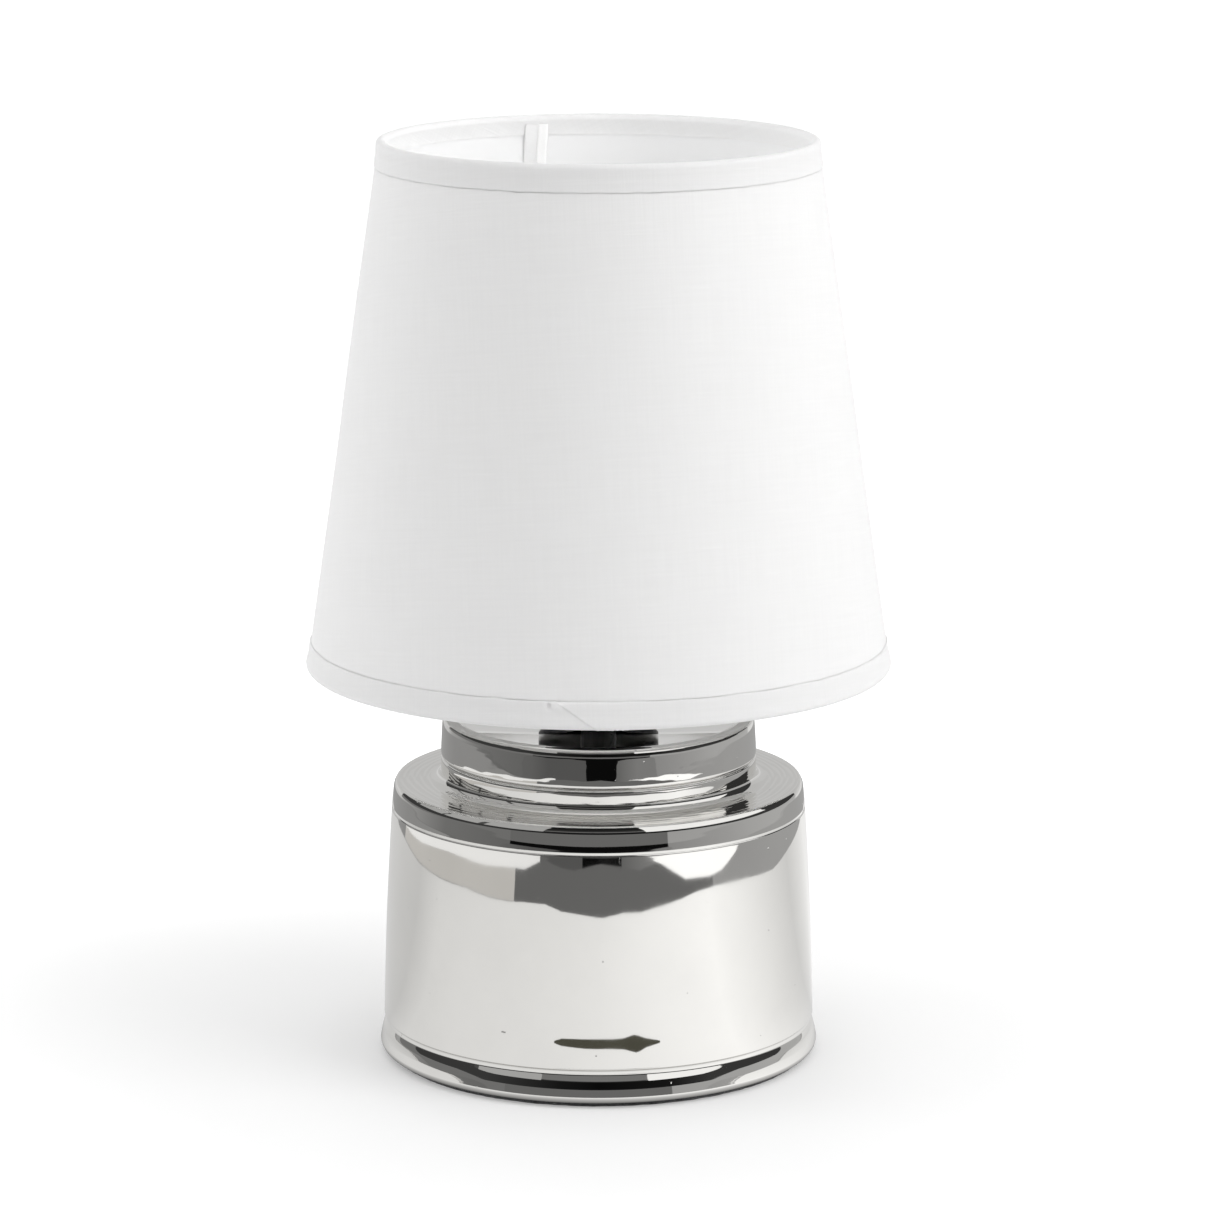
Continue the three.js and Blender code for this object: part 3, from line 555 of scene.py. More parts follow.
def smooth_line(points, steps):
    """Curve through (radius, height) points, with that many steps from each to the next."""
    knots = [Vector(point) for point in points]
    headings = []
    for i in range(len(knots)):
        headings.append((knots[min(i + 1, len(knots) - 1)] - knots[max(i - 1, 0)]).normalized())
    line = []
    for i, (start, end) in enumerate(zip(knots, knots[1:])):
        reach = (end - start).length / 3
        near, far = start + headings[i] * reach, end - headings[i + 1] * reach
        line += [tuple(point)[:2] for point in interpolate_bezier(start, near, far, end, steps + 1)[:-1]]
    return line + [points[-1]]


def even_azimuths(sides):
    return [tau * i / sides for i in range(sides)]


def finer_azimuths(sides, start, end, step):
    """Even azimuths in radians, with closer ones from start to end, all three in degrees."""
    low, high = radians(start), radians(end)
    close = spread(low, high, round((end - start) / step))
    return sorted([azimuth for azimuth in even_azimuths(sides) if not low <= azimuth <= high] + close)


def turned(profile, azimuths, shape=None, base=0.0):
    """Surface turned about Z from a loop of (radius, height) points in millimetres above base.

    azimuths is the number of sides or a list of azimuths in radians. shape(azimuth, radius, height) may move
    each point, and returns its new radius and height.
    """
    if isinstance(azimuths, int):
        azimuths = even_azimuths(azimuths)
    bm = bmesh.new()
    rings = []
    for radius, height in profile:
        if radius < 1e-6:
            rings.append([bm.verts.new((0.0, 0.0, (base + height) * MM))])
            continue
        ring = []
        for azimuth in azimuths:
            r, h = shape(azimuth, radius, height) if shape else (radius, height)
            ring.append(bm.verts.new(turned_point(azimuth, r, base + h)))
        rings.append(ring)
    for low, high in zip(rings, rings[1:] + rings[:1]):
        bridge(bm, low, high)
    return bm


def skin(bm, rings):
    """Faces between each ring and the next, and over both ends."""
    for low, high in zip(rings, rings[1:]):
        bridge(bm, low, high)
    bm.faces.new(rings[0])
    bm.faces.new(rings[-1])


def tube(points, radius, sides):
    """Round rod along a path of points in millimetres, closed at both ends."""
    bm = bmesh.new()
    path = [Vector(point) * MM for point in points]
    rings = []
    side = (path[1] - path[0]).orthogonal().normalized()
    for i, point in enumerate(path):
        before = path[max(i - 1, 0)]
        after = path[min(i + 1, len(path) - 1)]
        along = (after - before).normalized()
        side = (side - along * side.dot(along)).normalized()
        other = along.cross(side)
        ring = []
        for angle in even_azimuths(sides):
            out = side * cos(angle) + other * sin(angle)
            ring.append(bm.verts.new(point + out * radius * MM))
        rings.append(ring)
    skin(bm, rings)
    return bm


def add_object(name, data):
    """Makes an object. A bmesh becomes its mesh and is freed."""
    if isinstance(data, bmesh.types.BMesh):
        mesh = bpy.data.meshes.new(name)
        data.to_mesh(mesh)
        data.free()
        data = mesh
    made = bpy.data.objects.new(name, data)
    bpy.context.scene.collection.objects.link(made)
    return made


def add_piece(name, bm, body, slot, replaces, sharp=40.0):
    """Makes the object, smooth but for its sharp edges, and puts it on its CAD body."""
    bmesh.ops.recalc_face_normals(bm, faces=bm.faces)
    limit = radians(sharp)
    for edge in bm.edges:
        edge.smooth = len(edge.link_faces) == 2 and edge.calc_face_angle(0.0) < limit
    for face in bm.faces:
        face.smooth = True
    made = add_object(name, bm)
    made.data.materials.append(finish_of(slot))
    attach(made, body)
    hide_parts(replaces)
    return made


def waves(azimuth, height, around, along, seed):
    """Smooth noise on a cylinder, from about -0.5 to 0.5."""
    place = Vector((cos(azimuth) * around, sin(azimuth) * around, height * along))
    return noise.noise(place + Vector((seed, seed * 0.7, seed * 0.3)))


# Base


def body_radius(height):
    share = (height - BODY_START) / (CREASE_HEIGHT - BODY_START)
    return BODY_RADIUS + (CREASE_RADIUS - BODY_RADIUS) * share + 4 * BODY_SWELL * share * (1 - share)


def body_wall(offset, start, end, steps):
    return [(body_radius(height) - offset, height) for height in spread(start, end, steps)]


def ledge_end():
    """Radius where the level ledge round the neck turns down into the shoulder."""
    return SHOULDER_BAND[-1][0] - SHOULDER_EDGE * cos(radians(SHOULDER_TILT))


def base_outside():
    """Outside of the ceramic from the rim of the foot up to the edge of the neck's dish."""
    shoulder_edge = ledge_end()
    neck_edge = NECK_WALL[-1][0] - NECK_EDGE * cos(radians(NECK_TILT))
    cove_centre = NECK_RADIUS + COVE_RADIUS
    points = arc(FOOT_RADIUS - FOOT_EDGE, RIM_HEIGHT + FOOT_EDGE, FOOT_EDGE, -90, 0, 10)[:-1]
    points += smooth_line(FOOT_SIDE, 8)[:-1]
    points += smooth_line(FOOT_GROOVE, 4)
    points += body_wall(0.0, BODY_START + 0.6, CREASE_LINE[0][1] - 0.3, 72)
    points += smooth_line(CREASE_LINE, 4)[:-1]
    points += smooth_line(SHOULDER_BAND, 8)[:-1]
    points += arc(shoulder_edge, SHOULDER_HEIGHT - SHOULDER_EDGE, SHOULDER_EDGE, SHOULDER_TILT, 90, 20)
    points += [(radius, SHOULDER_HEIGHT) for radius in spread(shoulder_edge, cove_centre, 36)[1:-1]]
    points += arc(cove_centre, SHOULDER_HEIGHT + COVE_RADIUS, COVE_RADIUS, 270, 180, 24)[:-1]
    points += smooth_line(NECK_WALL, 5)[:-1]
    points += arc(neck_edge, NECK_TOP_HEIGHT - NECK_EDGE, NECK_EDGE, NECK_TILT, 90, 14)
    rim = NECK_RADIUS - NECK_RIM_WIDTH
    points += [
        (rim + 0.4, NECK_TOP_HEIGHT),
        (rim, NECK_TOP_HEIGHT - 0.05),
        (rim - NECK_DISH_SLOPE * 0.5, NECK_TOP_HEIGHT - NECK_DISH * 0.55),
        (rim - NECK_DISH_SLOPE, NECK_TOP_HEIGHT - NECK_DISH),
    ]
    return points


def base_inside():
    """Inside of the ceramic from the nipple's hole down to the recess for the board."""
    floor = NECK_TOP_HEIGHT - NECK_DISH
    underside = floor - WALL
    neck_inside = NECK_RADIUS - NECK_DRAFT - WALL
    shoulder_underside = SHOULDER_HEIGHT - WALL
    body_top = shoulder_underside - COVE_RADIUS
    points = [
        (NECK_HOLE_RADIUS, floor),
        (NECK_HOLE_RADIUS, underside),
        (neck_inside - COVE_RADIUS, underside),
        (neck_inside, underside - COVE_RADIUS),
        (neck_inside, shoulder_underside),
        (body_radius(body_top) - WALL - COVE_RADIUS, shoulder_underside),
    ]
    points += body_wall(WALL, body_top, LEDGE_HEIGHT + LEDGE_THICKNESS + LEDGE_WIDTH, 12)
    points += [
        (RECESS_RADIUS - LEDGE_WIDTH, LEDGE_HEIGHT + LEDGE_THICKNESS),
        (RECESS_RADIUS - LEDGE_WIDTH, LEDGE_HEIGHT),
        (RECESS_RADIUS, LEDGE_HEIGHT),
        (RECESS_RADIUS, RIM_HEIGHT),
    ]
    return points


def glaze_surface(azimuth, radius, height):
    """Unevenness of the hand-dipped ceramic: slow waves, rings on the ledge and a wavier neck."""
    ripple = bpy.context.scene.lamp_sizes.glaze_ripple / MM
    slow = waves(azimuth, height, 1.7, 0.035, 3.0)
    medium = waves(azimuth, height, 4.5, 0.09, 11.0)
    offset = ripple * (slow * 2.0 + medium)
    lift = 0.0
    if abs(height - SHOULDER_HEIGHT) < 0.01 and NECK_RADIUS < radius < ledge_end() + 0.01:
        wander = 1.5 * waves(azimuth, radius, 2.2, 0.1, 5.0)
        rings = sin(tau * (radius + wander) / 1.9)
        rings += 0.6 * sin(tau * radius / 1.15 + 1.0)
        lift = ripple * 1.5 * rings
    elif height > SHOULDER_HEIGHT and radius > NECK_RADIUS - NECK_RIM_WIDTH:
        offset += ripple * 2.4 * waves(azimuth, height, 5.5, 0.22, 17.0)
        offset += ripple * 0.5 * waves(azimuth, height, 16.0, 0.7, 23.0)
    return radius + offset, height + lift


def cut_hole(piece, radius, start, end, height, sides):
    """Drills a round hole along Y from start to end."""
    drill = tube([(0, start, height), (0, end, height)], radius, sides)
    bmesh.ops.recalc_face_normals(drill, faces=drill.faces)
    tool = add_object("drill", drill)
    cut = piece.modifiers.new("hole", "BOOLEAN")
    cut.operation = "DIFFERENCE"
    cut.solver = "EXACT"
    cut.object = tool
    bpy.context.view_layer.update()
    evaluated = piece.evaluated_get(bpy.context.evaluated_depsgraph_get())
    result = bpy.data.meshes.new_from_object(evaluated)
    piece.modifiers.clear()
    piece.data = result
    bpy.data.meshes.remove(tool.data)


def make_base():
    shell = turned(base_outside() + base_inside(), 320, glaze_surface)
    piece = add_piece("ceramic_base", shell, "stand", "mirror_glaze", "base_shell", 30.0)
    cut_hole(piece, GLAND_HOLE_RADIUS, FOOT_RADIUS / 2, FOOT_RADIUS + 6.0, GLAND_HEIGHT, 48)


def make_pad():
    corner = PAD_RADIUS - PAD_FUZZ - PAD_EDGE

    def fluff(azimuth, radius, height):
        if radius < corner:
            return radius, height
        return radius + 0.35 * waves(azimuth, height, 40.0, 2.0, 1.0), height

    profile = [(0.0, 0.0), (20.0, 0.0), (40.0, 0.0), (58.0, 0.0)]
    profile += arc(corner, PAD_EDGE, PAD_EDGE, -90, 0, 4)
    profile += arc(corner, PAD_SHEET - PAD_EDGE, PAD_EDGE, 0, 90, 4)
    profile += [(40.0, PAD_SHEET), (0.0, PAD_SHEET)]
    add_piece("felt_foot_pad", turned(profile, 240, fluff), "stand", "felt_black", "felt_pad")


def make_gland():
    wall = body_radius(GLAND_HEIGHT)
    seat = wall + SEAT_GAP
    shank = GLAND_HOLE_RADIUS - SEAT_GAP
    clip_face = sqrt((wall - WALL) ** 2 - GLAND_CLIP_RADIUS**2) - SEAT_GAP
    lip = GLAND_LIP_RADIUS
    profile = [(GLAND_BORE_RADIUS, clip_face - GLAND_CLIP), (shank, clip_face - GLAND_CLIP)]
    profile += [(GLAND_CLIP_RADIUS, clip_face), (shank, clip_face), (shank, seat), (lip - 0.1, seat)]
    profile += arc(lip - 0.6, seat + 0.6, 0.6, -20, 0, 2)
    profile += arc(lip - 0.9, seat + 1.1, 0.9, 0, 90, 8)
    profile += [(lip - 2.2, seat + 1.95), (lip - 2.7, seat + 1.7)]
    profile += arc(GLAND_BORE_RADIUS + 0.4, seat + 1.3, 0.4, 90, 180, 4)
    gland = turned(profile, 64)
    for vertex in gland.verts:
        x, y, z = vertex.co
        vertex.co = (x, z, GLAND_HEIGHT * MM - y)
    add_piece("rubber_gland", gland, "stand", "black_rubber", "cable_gland")


# Holder


def make_neck_cap():
    profile = [(CAP_RADIUS - CAP_SHEET, 0.0), (CAP_RADIUS, 0.0)]
    profile += arc(CAP_RADIUS - 0.4, 0.4, 0.4, 0, 90, 4)
    inner_height = CAP_HEIGHT - CAP_SHEET
    for share in spread(0.0, 1.0, 12)[1:-1]:
        radius = CAP_DOME_START + (CAP_DOME_END - CAP_DOME_START) * share
        profile.append((radius, CAP_SHEET + inner_height * sin(share * pi / 2) ** 1.4))
    profile += [(10.3, CAP_HEIGHT), (NIPPLE_HOLE_RADIUS, CAP_HEIGHT), (NIPPLE_HOLE_RADIUS, inner_height)]
    profile += [(10.1, inner_height), (13.0, 2.1), (15.4, CAP_SHEET)]
    cover = turned(profile, 128, base=NECK_TOP_HEIGHT - NECK_DISH + SEAT_GAP)
    add_piece("neck_cover", cover, "stand", "black_phenolic", "neck_cap")


def make_holder_cup():
    profile = [(NIPPLE_HOLE_RADIUS, 0.0), (CUP_FOOT_RADIUS, 0.0)]
    profile += arc(CUP_FOOT_RADIUS, 0.8, 0.8, -90, -35, 4)
    profile += arc(CUP_RADIUS - 0.8, 3.9, 0.8, -35, 0, 4)
    profile += [(CUP_RADIUS, CUP_HEIGHT - 0.3), (CUP_RADIUS - 0.3, CUP_HEIGHT)]
    profile += [(CUP_BORE_RADIUS, CUP_HEIGHT), (CUP_BORE_RADIUS, CUP_FLOOR), (NIPPLE_HOLE_RADIUS, CUP_FLOOR)]
    cup = turned(profile, 96, base=HOLDER_BASE)
    piece = add_piece("holder_cup", cup, "stand", "black_phenolic", "holder_cap")
    cut_hole(piece, GRUB_HOLE_RADIUS, 0.0, 20.0, HOLDER_BASE + GRUB_HEIGHT, 24)


def make_holder_skirt():
    thread_end = HOLDER_HEIGHT - 0.4

    def thread(azimuth, radius, height):
        if radius < THREAD_RADIUS - 0.1 or not THREAD_START < height < HOLDER_HEIGHT:
            return radius, height
        fade = min(1.0, (height - THREAD_START) / THREAD_PITCH, (thread_end - height) / THREAD_PITCH + 0.2)
        turn = height / THREAD_PITCH - azimuth / tau
        wave = 0.5 - 0.5 * cos(tau * turn)
        return radius - THREAD_DEPTH * max(fade, 0.0) * wave**0.7, height

    edge = SKIRT_EDGE
    bore = HOLDER_BORE_RADIUS
    rim = FLANGE_RADIUS - edge
    profile = [(THREAD_RADIUS, SKIRT_START), (SKIRT_RADIUS - edge, SKIRT_START)]
    profile += arc(SKIRT_RADIUS - edge, SKIRT_START + edge, edge, -90, 0, 3)
    profile += arc(SKIRT_RADIUS - 0.5, 19.5, 0.5, 0, 50, 3)
    profile += [(14.0, 21.1), (THREAD_RADIUS, 21.5), (THREAD_RADIUS, FLANGE_START), (rim, FLANGE_START)]
    profile += arc(rim, FLANGE_START + edge, edge, -90, 0, 3)
    profile += arc(rim, FLANGE_END - edge, edge, 0, 90, 3)
    profile += [(THREAD_RADIUS, height) for height in spread(FLANGE_END, HOLDER_HEIGHT - edge, 96)]
    profile += [(THREAD_RADIUS - edge, HOLDER_HEIGHT), (bore + edge, HOLDER_HEIGHT)]
    profile += [(bore, HOLDER_HEIGHT - edge), (bore, SKIRT_FLOOR), (THREAD_RADIUS, SKIRT_FLOOR)]
    sleeve = turned(profile, 96, thread, HOLDER_BASE)
    add_piece("holder_sleeve", sleeve, "stand", "black_phenolic", "holder_skirt")


def make_shade_ring():
    def ribs(azimuth, radius, height):
        if radius < RING_RADIUS - 1.0:
            return radius, height
        wave = 0.5 - 0.5 * cos(RING_RIBS * azimuth)
        return radius - RING_RIB_DEPTH * wave**1.5, height

    bore = THREAD_RADIUS + SEAT_GAP
    profile = [(bore, 0.0), (RING_RADIUS - 0.4, 0.0)]
    profile += arc(RING_RADIUS - 0.4, 0.4, 0.4, -90, 0, 3)
    profile += arc(RING_RADIUS - 0.6, RING_FLANGE - 0.6, 0.6, 0, 90, 5)
    profile += [(RING_NECK_RADIUS + 0.5, RING_FLANGE)]
    profile += arc(RING_NECK_RADIUS + 0.5, RING_FLANGE + 0.5, 0.5, 270, 180, 4)
    profile += arc(RING_NECK_RADIUS - 0.5, RING_HEIGHT - 0.5, 0.5, 0, 90, 4)
    profile += [(bore + 0.4, RING_HEIGHT), (bore, RING_HEIGHT - 0.4)]
    ring = turned(profile, 360, ribs, RING_BASE)
    add_piece("clamping_ring", ring, "shade_ring", "black_phenolic", "shade_ring")


# Bulb


def globe_drop():
    """How far the globe's open edge is below its centre."""
    return BULB_LENGTH - GLOBE_RADIUS - COLLAR_WAIST - COLLAR_FLARE - SEAT_GAP


def make_globe():
    """Opal globe, open below where it sits on the collar."""
    centre = BULB_LENGTH - GLOBE_RADIUS
    inside = GLOBE_RADIUS - GLOBE_WALL
    start = degrees(asin(globe_drop() / GLOBE_RADIUS))
    inner_start = degrees(asin(globe_drop() / inside))
    outer = arc(0.0, centre, GLOBE_RADIUS, -start, 90, 40)
    inner = arc(0.0, centre, inside, 90, -inner_start, 32)
    outer[-1] = (0.0, outer[-1][1])
    inner[0] = (0.0, inner[0][1])
    globe = turned(outer + inner, 128, base=BULB_BASE)
    add_piece("globe", globe, "bulb", "opal_globe", "bulb_globe")


def make_collar():
    """Collar that flares from the bulb's cap to the globe."""
    top = COLLAR_WAIST + COLLAR_FLARE
    top_radius = sqrt(GLOBE_RADIUS**2 - globe_drop() ** 2)
    floor = COLLAR_BASE + COLLAR_WALL
    foot = COLLAR_FOOT_RADIUS
    profile = [(0.0, COLLAR_BASE), (foot - 0.3, COLLAR_BASE), (foot, COLLAR_BASE + 0.3)]
    profile += [(COLLAR_WAIST_RADIUS, COLLAR_WAIST)]
    for share in spread(0.0, 1.0, 12)[1:-1]:
        flare = 0.35 * share + 0.65 * eased(share)
        radius = COLLAR_WAIST_RADIUS + (top_radius - COLLAR_WAIST_RADIUS) * flare
        profile.append((radius, COLLAR_WAIST + COLLAR_FLARE * share))
    profile += [(top_radius, top - 0.2), (top_radius - 0.2, top), (top_radius - COLLAR_WALL, top)]
    profile += [(COLLAR_WAIST_RADIUS - COLLAR_WALL, COLLAR_WAIST), (foot - COLLAR_WALL, floor), (0.0, floor)]
    collar = turned(profile, 96, base=BULB_BASE)
    add_piece("collar", collar, "bulb", "white_plastic", "bulb_collar")


# Shade


LOW_WIRE = Vector((SHADE_BOTTOM_RADIUS - ROLL_RADIUS, SHADE_BOTTOM + ROLL_RADIUS))
HIGH_WIRE = Vector((SHADE_TOP_RADIUS - ROLL_RADIUS, SHADE_TOP - ROLL_RADIUS))
SLANT = (HIGH_WIRE - LOW_WIRE).length
SLANT_UP = (HIGH_WIRE - LOW_WIRE).normalized()
SLANT_OUT = Vector((SLANT_UP.y, -SLANT_UP.x))
FABRIC_INSIDE = LINER_SHEET / 2 + LAYER_GAP
FABRIC_OUTSIDE = FABRIC_INSIDE + FABRIC_SHEET


def on_slant(along, out):
    """(radius, height) of a point up the line of the wires and out from it."""
    point = LOW_WIRE + SLANT_UP * along + SLANT_OUT * out
    return point.x, point.y


def azimuth_gap(azimuth, other):
    """Signed angle from one azimuth to another, from -pi to pi."""
    return (azimuth - other + pi) % tau - pi


def map_cloth(bm):
    """Gives each corner its place on the flat cut of the cone, in metres, split at the seam."""
    apex_height, cone_sine = shade_cone()
    layer = bm.loops.layers.uv.new(CLOTH_MAP)
    front = radians(SEAM_AZIMUTH) + pi
    for face in bm.faces:
        middle = face.calc_center_median()
        centre = azimuth_gap(atan2(middle.y, middle.x), front)
        for loop in face.loops:
            x, y, z = loop.vert.co
            turn = azimuth_gap(atan2(y, x), front)
            if turn - centre > pi:
                turn -= tau
            elif centre - turn > pi:
                turn += tau
            reach = hypot(x, y, apex_height - z)
            angle = turn * cone_sine
            loop[layer].uv = (reach * sin(angle), -reach * cos(angle))


def shade_cone():
    """Height of the cone's apex in metres and the sine of its half angle."""
    slope = (LOW_WIRE.x - HIGH_WIRE.x) / (HIGH_WIRE.y - LOW_WIRE.y)
    apex = LOW_WIRE.y + LOW_WIRE.x / slope
    return apex * MM, sin(atan(slope))


def add_cloth(name, bm, node):
    map_cloth(bm)
    return add_piece(name, bm, "shade", "white_fabric", node)


def slant_profile(inner, outer, rows):
    """Section of a sheet between the wires: up its outside and down its inside."""
    start = WIRE_RADIUS + SEAT_GAP
    end = SLANT - start
    points = [on_slant(along, outer) for along in spread(start, end, rows)]
    return points + [on_slant(along, inner) for along in spread(end, start, rows)]


def make_liner():
    liner = turned(slant_profile(-LINER_SHEET / 2, LINER_SHEET / 2, 12), 256)
    add_piece("shade_lining", liner, "shade", "liner_sheet", "shade_liner")


def cover_relief(azimuth, radius, height):
    """How far the cover stands out from a true cone, with the lap of its seam at the back."""
    gap = azimuth_gap(azimuth, radians(SEAM_AZIMUTH)) * radius
    uneven = bpy.context.scene.lamp_sizes.cover_unevenness / MM * waves(azimuth, height, 2.4, 0.02, 8.0)
    if -7.0 < gap < 3.0:
        uneven += 0.3 * min(1.0, (3.0 - gap) / 0.4, (gap + 7.0) / 6.0)
    return uneven


def make_cover():
    def uneven(azimuth, radius, height):
        return radius + cover_relief(azimuth, radius, height), height

    cover = turned(slant_profile(FABRIC_INSIDE, FABRIC_OUTSIDE, 40), 384, uneven)
    return add_cloth("shade_cover", cover, "shade_fabric")


def hem_profile(wire_at, direction):
    """Section of the tape folded round a wire: outer leg, roll, inner leg and back again."""
    fold_out = -LINER_SHEET / 2 - LAYER_GAP
    inside = ROLL_RADIUS - TAPE
    outer_leg, outer_back, roll, roll_back, inner_leg, inner_back = [], [], [], [], [], []
    for along in spread(HEM, 0.0, 30):
        flat = FABRIC_OUTSIDE + 0.02 + TAPE * eased((HEM - along) / 0.45)
        out = flat + (ROLL_RADIUS - flat) * eased(1 - along / 3.0)
        outer_leg.append((along, out))
        outer_back.append((along, out - TAPE if HEM - along > 0.45 else FABRIC_OUTSIDE + 0.01))
    for angle in spread(0.0, pi, 24)[1:-1]:
        roll.append((-ROLL_RADIUS * sin(angle), ROLL_RADIUS * cos(angle)))
        roll_back.append((-inside * sin(angle), inside * cos(angle)))
    for share in spread(0.0, 1.0, 14):
        settle = (1 - share) ** 2
        inner_leg.append((HEM_FOLD * share, -ROLL_RADIUS * settle + (fold_out - TAPE) * (1 - settle)))
        inner_back.append((HEM_FOLD * share, -inside * settle + fold_out * (1 - settle)))
    line = outer_leg + roll + inner_leg + inner_back[::-1] + roll_back[::-1] + outer_back[::-1]
    return [on_slant(wire_at + direction * along, out) for along, out in line]


def tuck_relief(azimuth, along):
    """The tape's end at the front of the bottom hem: a lapped diagonal edge, a knot and a dimple."""
    across = azimuth_gap(azimuth, radians(TUCK_AZIMUTH)) * SHADE_BOTTOM_RADIUS
    edge = (across - (4.9 - along) * 1.45) * 0.57
    lap = 0.34 * eased(edge / 0.28 + 0.5) * (1 - eased(across / 26.0)) if across > -3.0 else 0.0
    knot = 0.75 * exp(-((across + 1.6) / 1.15) ** 2 - ((along - 5.5) / 1.25) ** 2)
    dimple = 0.5 * exp(-((across + 4.3) / 0.8) ** 2 - ((along - 5.0) / 0.9) ** 2)
    fray = 0.0
    if 9.0 < across < 20.0 and along < 0.5:
        fray = 0.35 * max(0.0, noise.noise(Vector((across * 1.6, along * 1.2, 3.0))))
    return lap + knot - dimple, fray


def make_hem(name, node, wire_at, direction, seed, tucked):
    """A hem tape with small puckers along its free edges."""
    wire = LOW_WIRE + SLANT_UP * wire_at
    pucker = bpy.context.scene.lamp_sizes.hem_pucker / MM

    def shape(azimuth, radius, height):
        offset = Vector((radius, height)) - wire
        along = offset.dot(SLANT_UP) * direction
        out = offset.dot(SLANT_OUT)
        fine = waves(azimuth, height, 16.0, 0.25, seed)
        slow = waves(azimuth, height, 3.0, 0.05, seed + 4.0)
        free = eased(along / HEM)
        move = pucker * (0.8 * fine * free + 0.5 * slow)
        drop = 0.0
        if out > 0.0:
            move = max(move, 0.0) * free + cover_relief(azimuth, radius, height) * eased(along / 3.0 + 0.5)
            if tucked:
                raised, drop = tuck_relief(azimuth, along)
                move += raised
        edge = pucker * 0.9 * fine * free
        return radius + move, height + edge - drop

    azimuths = 384
    if tucked:
        azimuths = finer_azimuths(384, TUCK_AZIMUTH - 6.0, TUCK_AZIMUTH + 14.0, 0.12)
    return add_cloth(name, turned(hem_profile(wire_at, direction), azimuths, shape), node)


def make_seam_strip():
    """Tape over the seam inside, folded double along its right side, from roll to roll."""
    seam = radians(SEAM_AZIMUTH)
    out = -LINER_SHEET / 2 - LAYER_GAP
    bm = bmesh.new()
    start, end = 1.2, SLANT - 1.2
    grid = []
    for along in spread(start, end, 80):
        near_hem = min(along - start, end - along)
        lift = 0.5 * eased(1 - (near_hem - HEM_FOLD) / 2.0)
        front, back = [], []
        for share in spread(-1.0, 1.0, 20):
            edge = 0.25 * (1 - sqrt(max(0.0, 1 - share**8)))
            double = 0.35 * eased((-share - 0.1) / 0.12)
            radius, height = on_slant(along, out - TAPE - lift - double + edge)
            angle = seam + share * SEAM_WIDTH / 2 / radius
            front.append(bm.verts.new(turned_point(angle, radius, height)))
            back.append(bm.verts.new(turned_point(angle, *on_slant(along, out - lift))))
        grid.append(front + back[::-1])
    skin(bm, grid)
    return add_cloth("seam_tape", bm, "seam_strip")


def make_fitter():
    bore = THREAD_RADIUS + SEAT_GAP
    edge = FITTER_EDGE
    rim = FITTER_RADIUS - edge
    profile = [(bore, 0.0), (rim, 0.0)]
    profile += arc(rim, edge, edge, -90, 0, 3) + arc(rim, FITTER_SHEET - edge, edge, 0, 90, 3)
    profile += [(bore + 0.2, FITTER_SHEET), (bore, FITTER_SHEET - 0.2)]
    washer = turned(profile, 128, base=FITTER_BASE)
    add_piece("fitter_washer", washer, "shade", "white_steel", "fitter_ring")
    for i in range(3):
        azimuth = radians(90.0 + 120.0 * i)
        points = []
        for along, height in arm_path():
            points.append((along * cos(azimuth), along * sin(azimuth), height))
        arm = tube(points, ARM_RADIUS, 20)
        add_piece(f"spoke_{i + 1}", arm, "shade", "white_steel", f"fitter_arm_{i + 1}")


def arm_path():
    """Side view of an arm: level under the ring, a rounded knee, then straight down to the wire."""
    start = FITTER_RADIUS - 3.2
    knee = start + 10.0
    high = FITTER_BASE - SEAT_GAP - ARM_RADIUS
    end, low = LOW_WIRE.x - ROLL_RADIUS - 0.6, LOW_WIRE.y + ARM_RADIUS
    slope = (low - high) / (end - knee)
    points = [(start, high), (start + 3.0, high), (knee - 5.0, high)]
    for share in spread(0.0, 1.0, 8):
        points.append((knee - 4.0 + 8.0 * share, high + slope * 4.0 * share * share))
    half = (end - knee) * 0.5
    return points + [(knee + half, high + slope * half), (end, low)]


def make_shade():
    make_liner()
    cover = make_cover()
    bottom = make_hem("bottom_hem_tape", "bottom_hem", 0.0, 1.0, 2.0, True)
    top = make_hem("top_hem_tape", "top_hem", SLANT, -1.0, 7.0, False)
    strip = make_seam_strip()


# Studio


def studio_object(name, bm, material, glossy_only=False):
    made = add_object(name, bm)
    made.data.materials.append(material)
    if glossy_only:
        made.visible_camera = False
        made.visible_diffuse = False
        made.visible_transmission = False
        made.visible_volume_scatter = False
        made.visible_shadow = False


def card_point(azimuth, distance, height):
    """Place at an azimuth in degrees to the right of the front, with distance and height in metres."""
    angle = radians(azimuth)
    return distance * sin(angle), -distance * cos(angle), height


def level_at(stops, azimuth):
    """Value of a line of (azimuth, value) stops at an azimuth."""
    for (low, first), (high, second) in zip(stops, stops[1:]):
        if low <= azimuth <= high:
            return first + (second - first) * (azimuth - low) / (high - low)
    return stops[-1][1]


